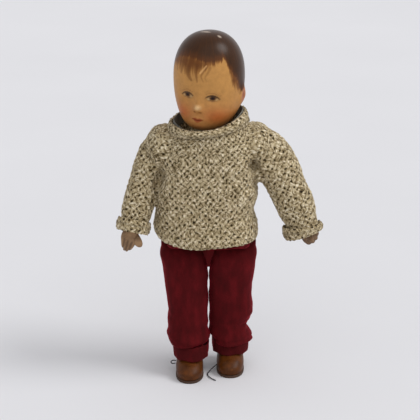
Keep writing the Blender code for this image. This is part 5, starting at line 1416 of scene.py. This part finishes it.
# painted shade in the ear's hollow
coat(dab(shell[:, 1], height, EAR_BOWL, 2, 5) * at_side, "#7a3c26", 0.75)
for x, y, wide, tall in CROWN_PALE_SPOTS:
    pale_spot = ease(1.4 - np.hypot((shell[:, 0] - x) / wide, (shell[:, 1] - y) / tall)) * (height > 30)
    coat(pale_spot, "#c9b6a4", 0.8)
print("brushed", len(FRINGE), "strokes of fringe")

# %% [markdown]
# Oil paint over cloth dries to a satin skin. It takes a soft reflection of the lamps, broken a little by
# brush marks 1.5 mm apart and by patches of fine dirt. The hair was varnished and shines more.

# %% Oil paint and the head piece
BRUSH, DIRT = (1.5, 1.5, 7), 5
oil_paint, tree, shader = start_material("oil_paint_on_moulded_cloth", IOR=1.48, Specular_IOR_Level=0.16,
                                         Coat_Weight=0.13, Coat_Roughness=0.34)
place = rest_place(tree)
dull = between(tree, noise(tree, place, DIRT, 6.0, Roughness=0.6), 0.35, 0.7, 1.05, 0.86)
coats = kept(tree, "paint", "Color")
tint = add(tree, "Mix", {0: 1.0, 6: coats, 7: dull}, data_type="RGBA", blend_type="MULTIPLY").outputs[2]
connect(tree, shader, Base_Color=tint, Roughness=between(tree, kept(tree, "hair"), 0, 1, 0.5, 0.3),
        Normal=bumps(tree, noise(tree, stretched(tree, place, BRUSH), 1, 3.0), 0.12, 0.3))

head = spun(shell + Y * HEAD_SET_BACK, HEAD_TURN, 0, 1) + MIDDLE + Z * HEAD_CENTRE
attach(new_piece("head_painted", head, faces, oil_paint, "painted_cloth", ["head_shell"],
                  paint=paint, hair=hair), "head")

# %% [markdown]
# ## Inside
#
# The CAD pieces that the clothes hide keep their shapes and get plain finishes of their own: unbleached
# muslin for the stuffed body, wadding, fibre card for the joint discs, steel for the pins. Only the hip's
# tab is drawn again, shorter, so that it doesn't show between the legs.

# %% Hidden pieces
muslin = woven("muslin_unbleached", "#c9b996", "#e2d6ba", 0.9, 0.9, 0.2)
wadding = woven("cotton_wadding", "#d8d2c4", "#efeade", 2.5, 0.95, 0.6)
sock_knit = woven("cotton_stockinet_brown", "#3b2f28", "#5c4b40", 1.2, 0.9, 0.3)
card = woven("fibre_card_pressed", "#7a6245", "#9a8260", 0.7, 0.8, 0.1)
points, faces = solid_of("hip_tab")
points[:, 2] = tucked(points[:, 2])
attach(new_piece("hip_tab_cloth", points, faces, muslin, "muslin", ["hip_tab"]), "trunk")
pin_steel, tree, shader = start_material("steel_wire_drawn", Metallic=1.0)
drawn = add(tree, "TexNoise", {"Vector": object_place(tree), "Scale": 900.0}).outputs["Fac"]
connect(tree, shader, Base_Color=tinted(tree, drawn, (0.3, "#8d8d8f"), (0.8, "#bcbcc0")),
        Roughness=between(tree, drawn, 0, 1, 0.25, 0.45))

INSIDE = {
    muslin: ["torso", "leg_left", "leg_right"], wadding: ["head_stuffing"],
    shirt_cotton: ["shirt_body"], velveteen: ["waistband"], sock_knit: ["sock_left", "sock_right"],
    card: ["neck_disc", "head_disc", "shoulder_disc_left", "shoulder_disc_right", "arm_disc_left",
           "arm_disc_right", "hip_disc_left", "hip_disc_right"],
    pin_steel: ["neck_pin", "shoulder_pin_left", "shoulder_pin_right", "hip_pin"],
}
for finish, names in INSIDE.items():
    for name in names:
        frame["nodes"][name].data.materials.clear()
        frame["nodes"][name].data.materials.append(finish)
print("dressed", sum(map(len, INSIDE.values())), "hidden CAD pieces")

# %% [markdown]
# ## Studio
#
# A pale sweep, a large soft lamp high on the right, a wider and weaker one in front, and an even fill all
# round. Both lamps are suns with wide discs, so that the sweep is lit evenly to its far end. The
# background's tone comes from the floor's own colour, and the floor keeps the doll's shadow. The camera
# and reflections see the fill a little brighter than it lights.

# %% Floor and light
FLOOR_HALF, FLOOR_LEVEL = 6, -0.0001  # in metres, just under the soles
FILL_SEEN, FILL_LIGHT = 0.78, 0.58
LAMPS = {  # from where, width in degrees, strength
    "key": ((0.64, -0.14, 0.75), 28, 1.15),
    "front": ((0.2, -0.75, 0.6), 80, 0.5),
}

floor_paper, tree, shader = start_material("paper_sweep_matt", Roughness=0.95, Specular_IOR_Level=0.0)
tooth = add(tree, "TexNoise", {"Vector": object_place(tree), "Scale": 3.0}).outputs["Fac"]
connect(tree, shader, Base_Color=tinted(tree, tooth, (0.3, "#e6e6e9"), (0.8, "#e9e9ec")))
mesh = bpy.data.meshes.new("floor")
corners = [(x * FLOOR_HALF, y * FLOOR_HALF, FLOOR_LEVEL) for x, y in ((-1, -1), (1, -1), (1, 1), (-1, 1))]
mesh.from_pydata(corners, [], [(0, 1, 2, 3)])
mesh.materials.append(floor_paper)
floor = bpy.data.objects.new("floor", mesh)
bpy.context.collection.objects.link(floor)

world = bpy.data.worlds.new("studio")
bpy.context.scene.world = world
world.use_nodes = True
tree = world.node_tree
sky = tree.nodes["Background"]
sky.inputs["Color"].default_value = colour("#fdfdff")
rays = add(tree, "LightPath").outputs
seen = calculate(tree, "MAXIMUM", rays["Is Camera Ray"], rays["Is Glossy Ray"])
seen = calculate(tree, "MAXIMUM", seen, rays["Is Transmission Ray"])
seen = calculate(tree, "MULTIPLY", seen, FILL_SEEN)
connect(tree, sky, Strength=calculate(tree, "MAXIMUM", seen, FILL_LIGHT))

for name, (place, width, strength) in LAMPS.items():
    lamp = bpy.data.lights.new(name, "SUN")
    lamp.angle, lamp.energy = radians(width), strength
    holder = bpy.data.objects.new(name, lamp)
    bpy.context.collection.objects.link(holder)
    holder.location = place
    holder.rotation_euler = (-Vector(place)).to_track_quat("-Z", "Y").to_euler()
bpy.context.scene.view_settings.view_transform = "Standard"
print("lamps", ", ".join(LAMPS))
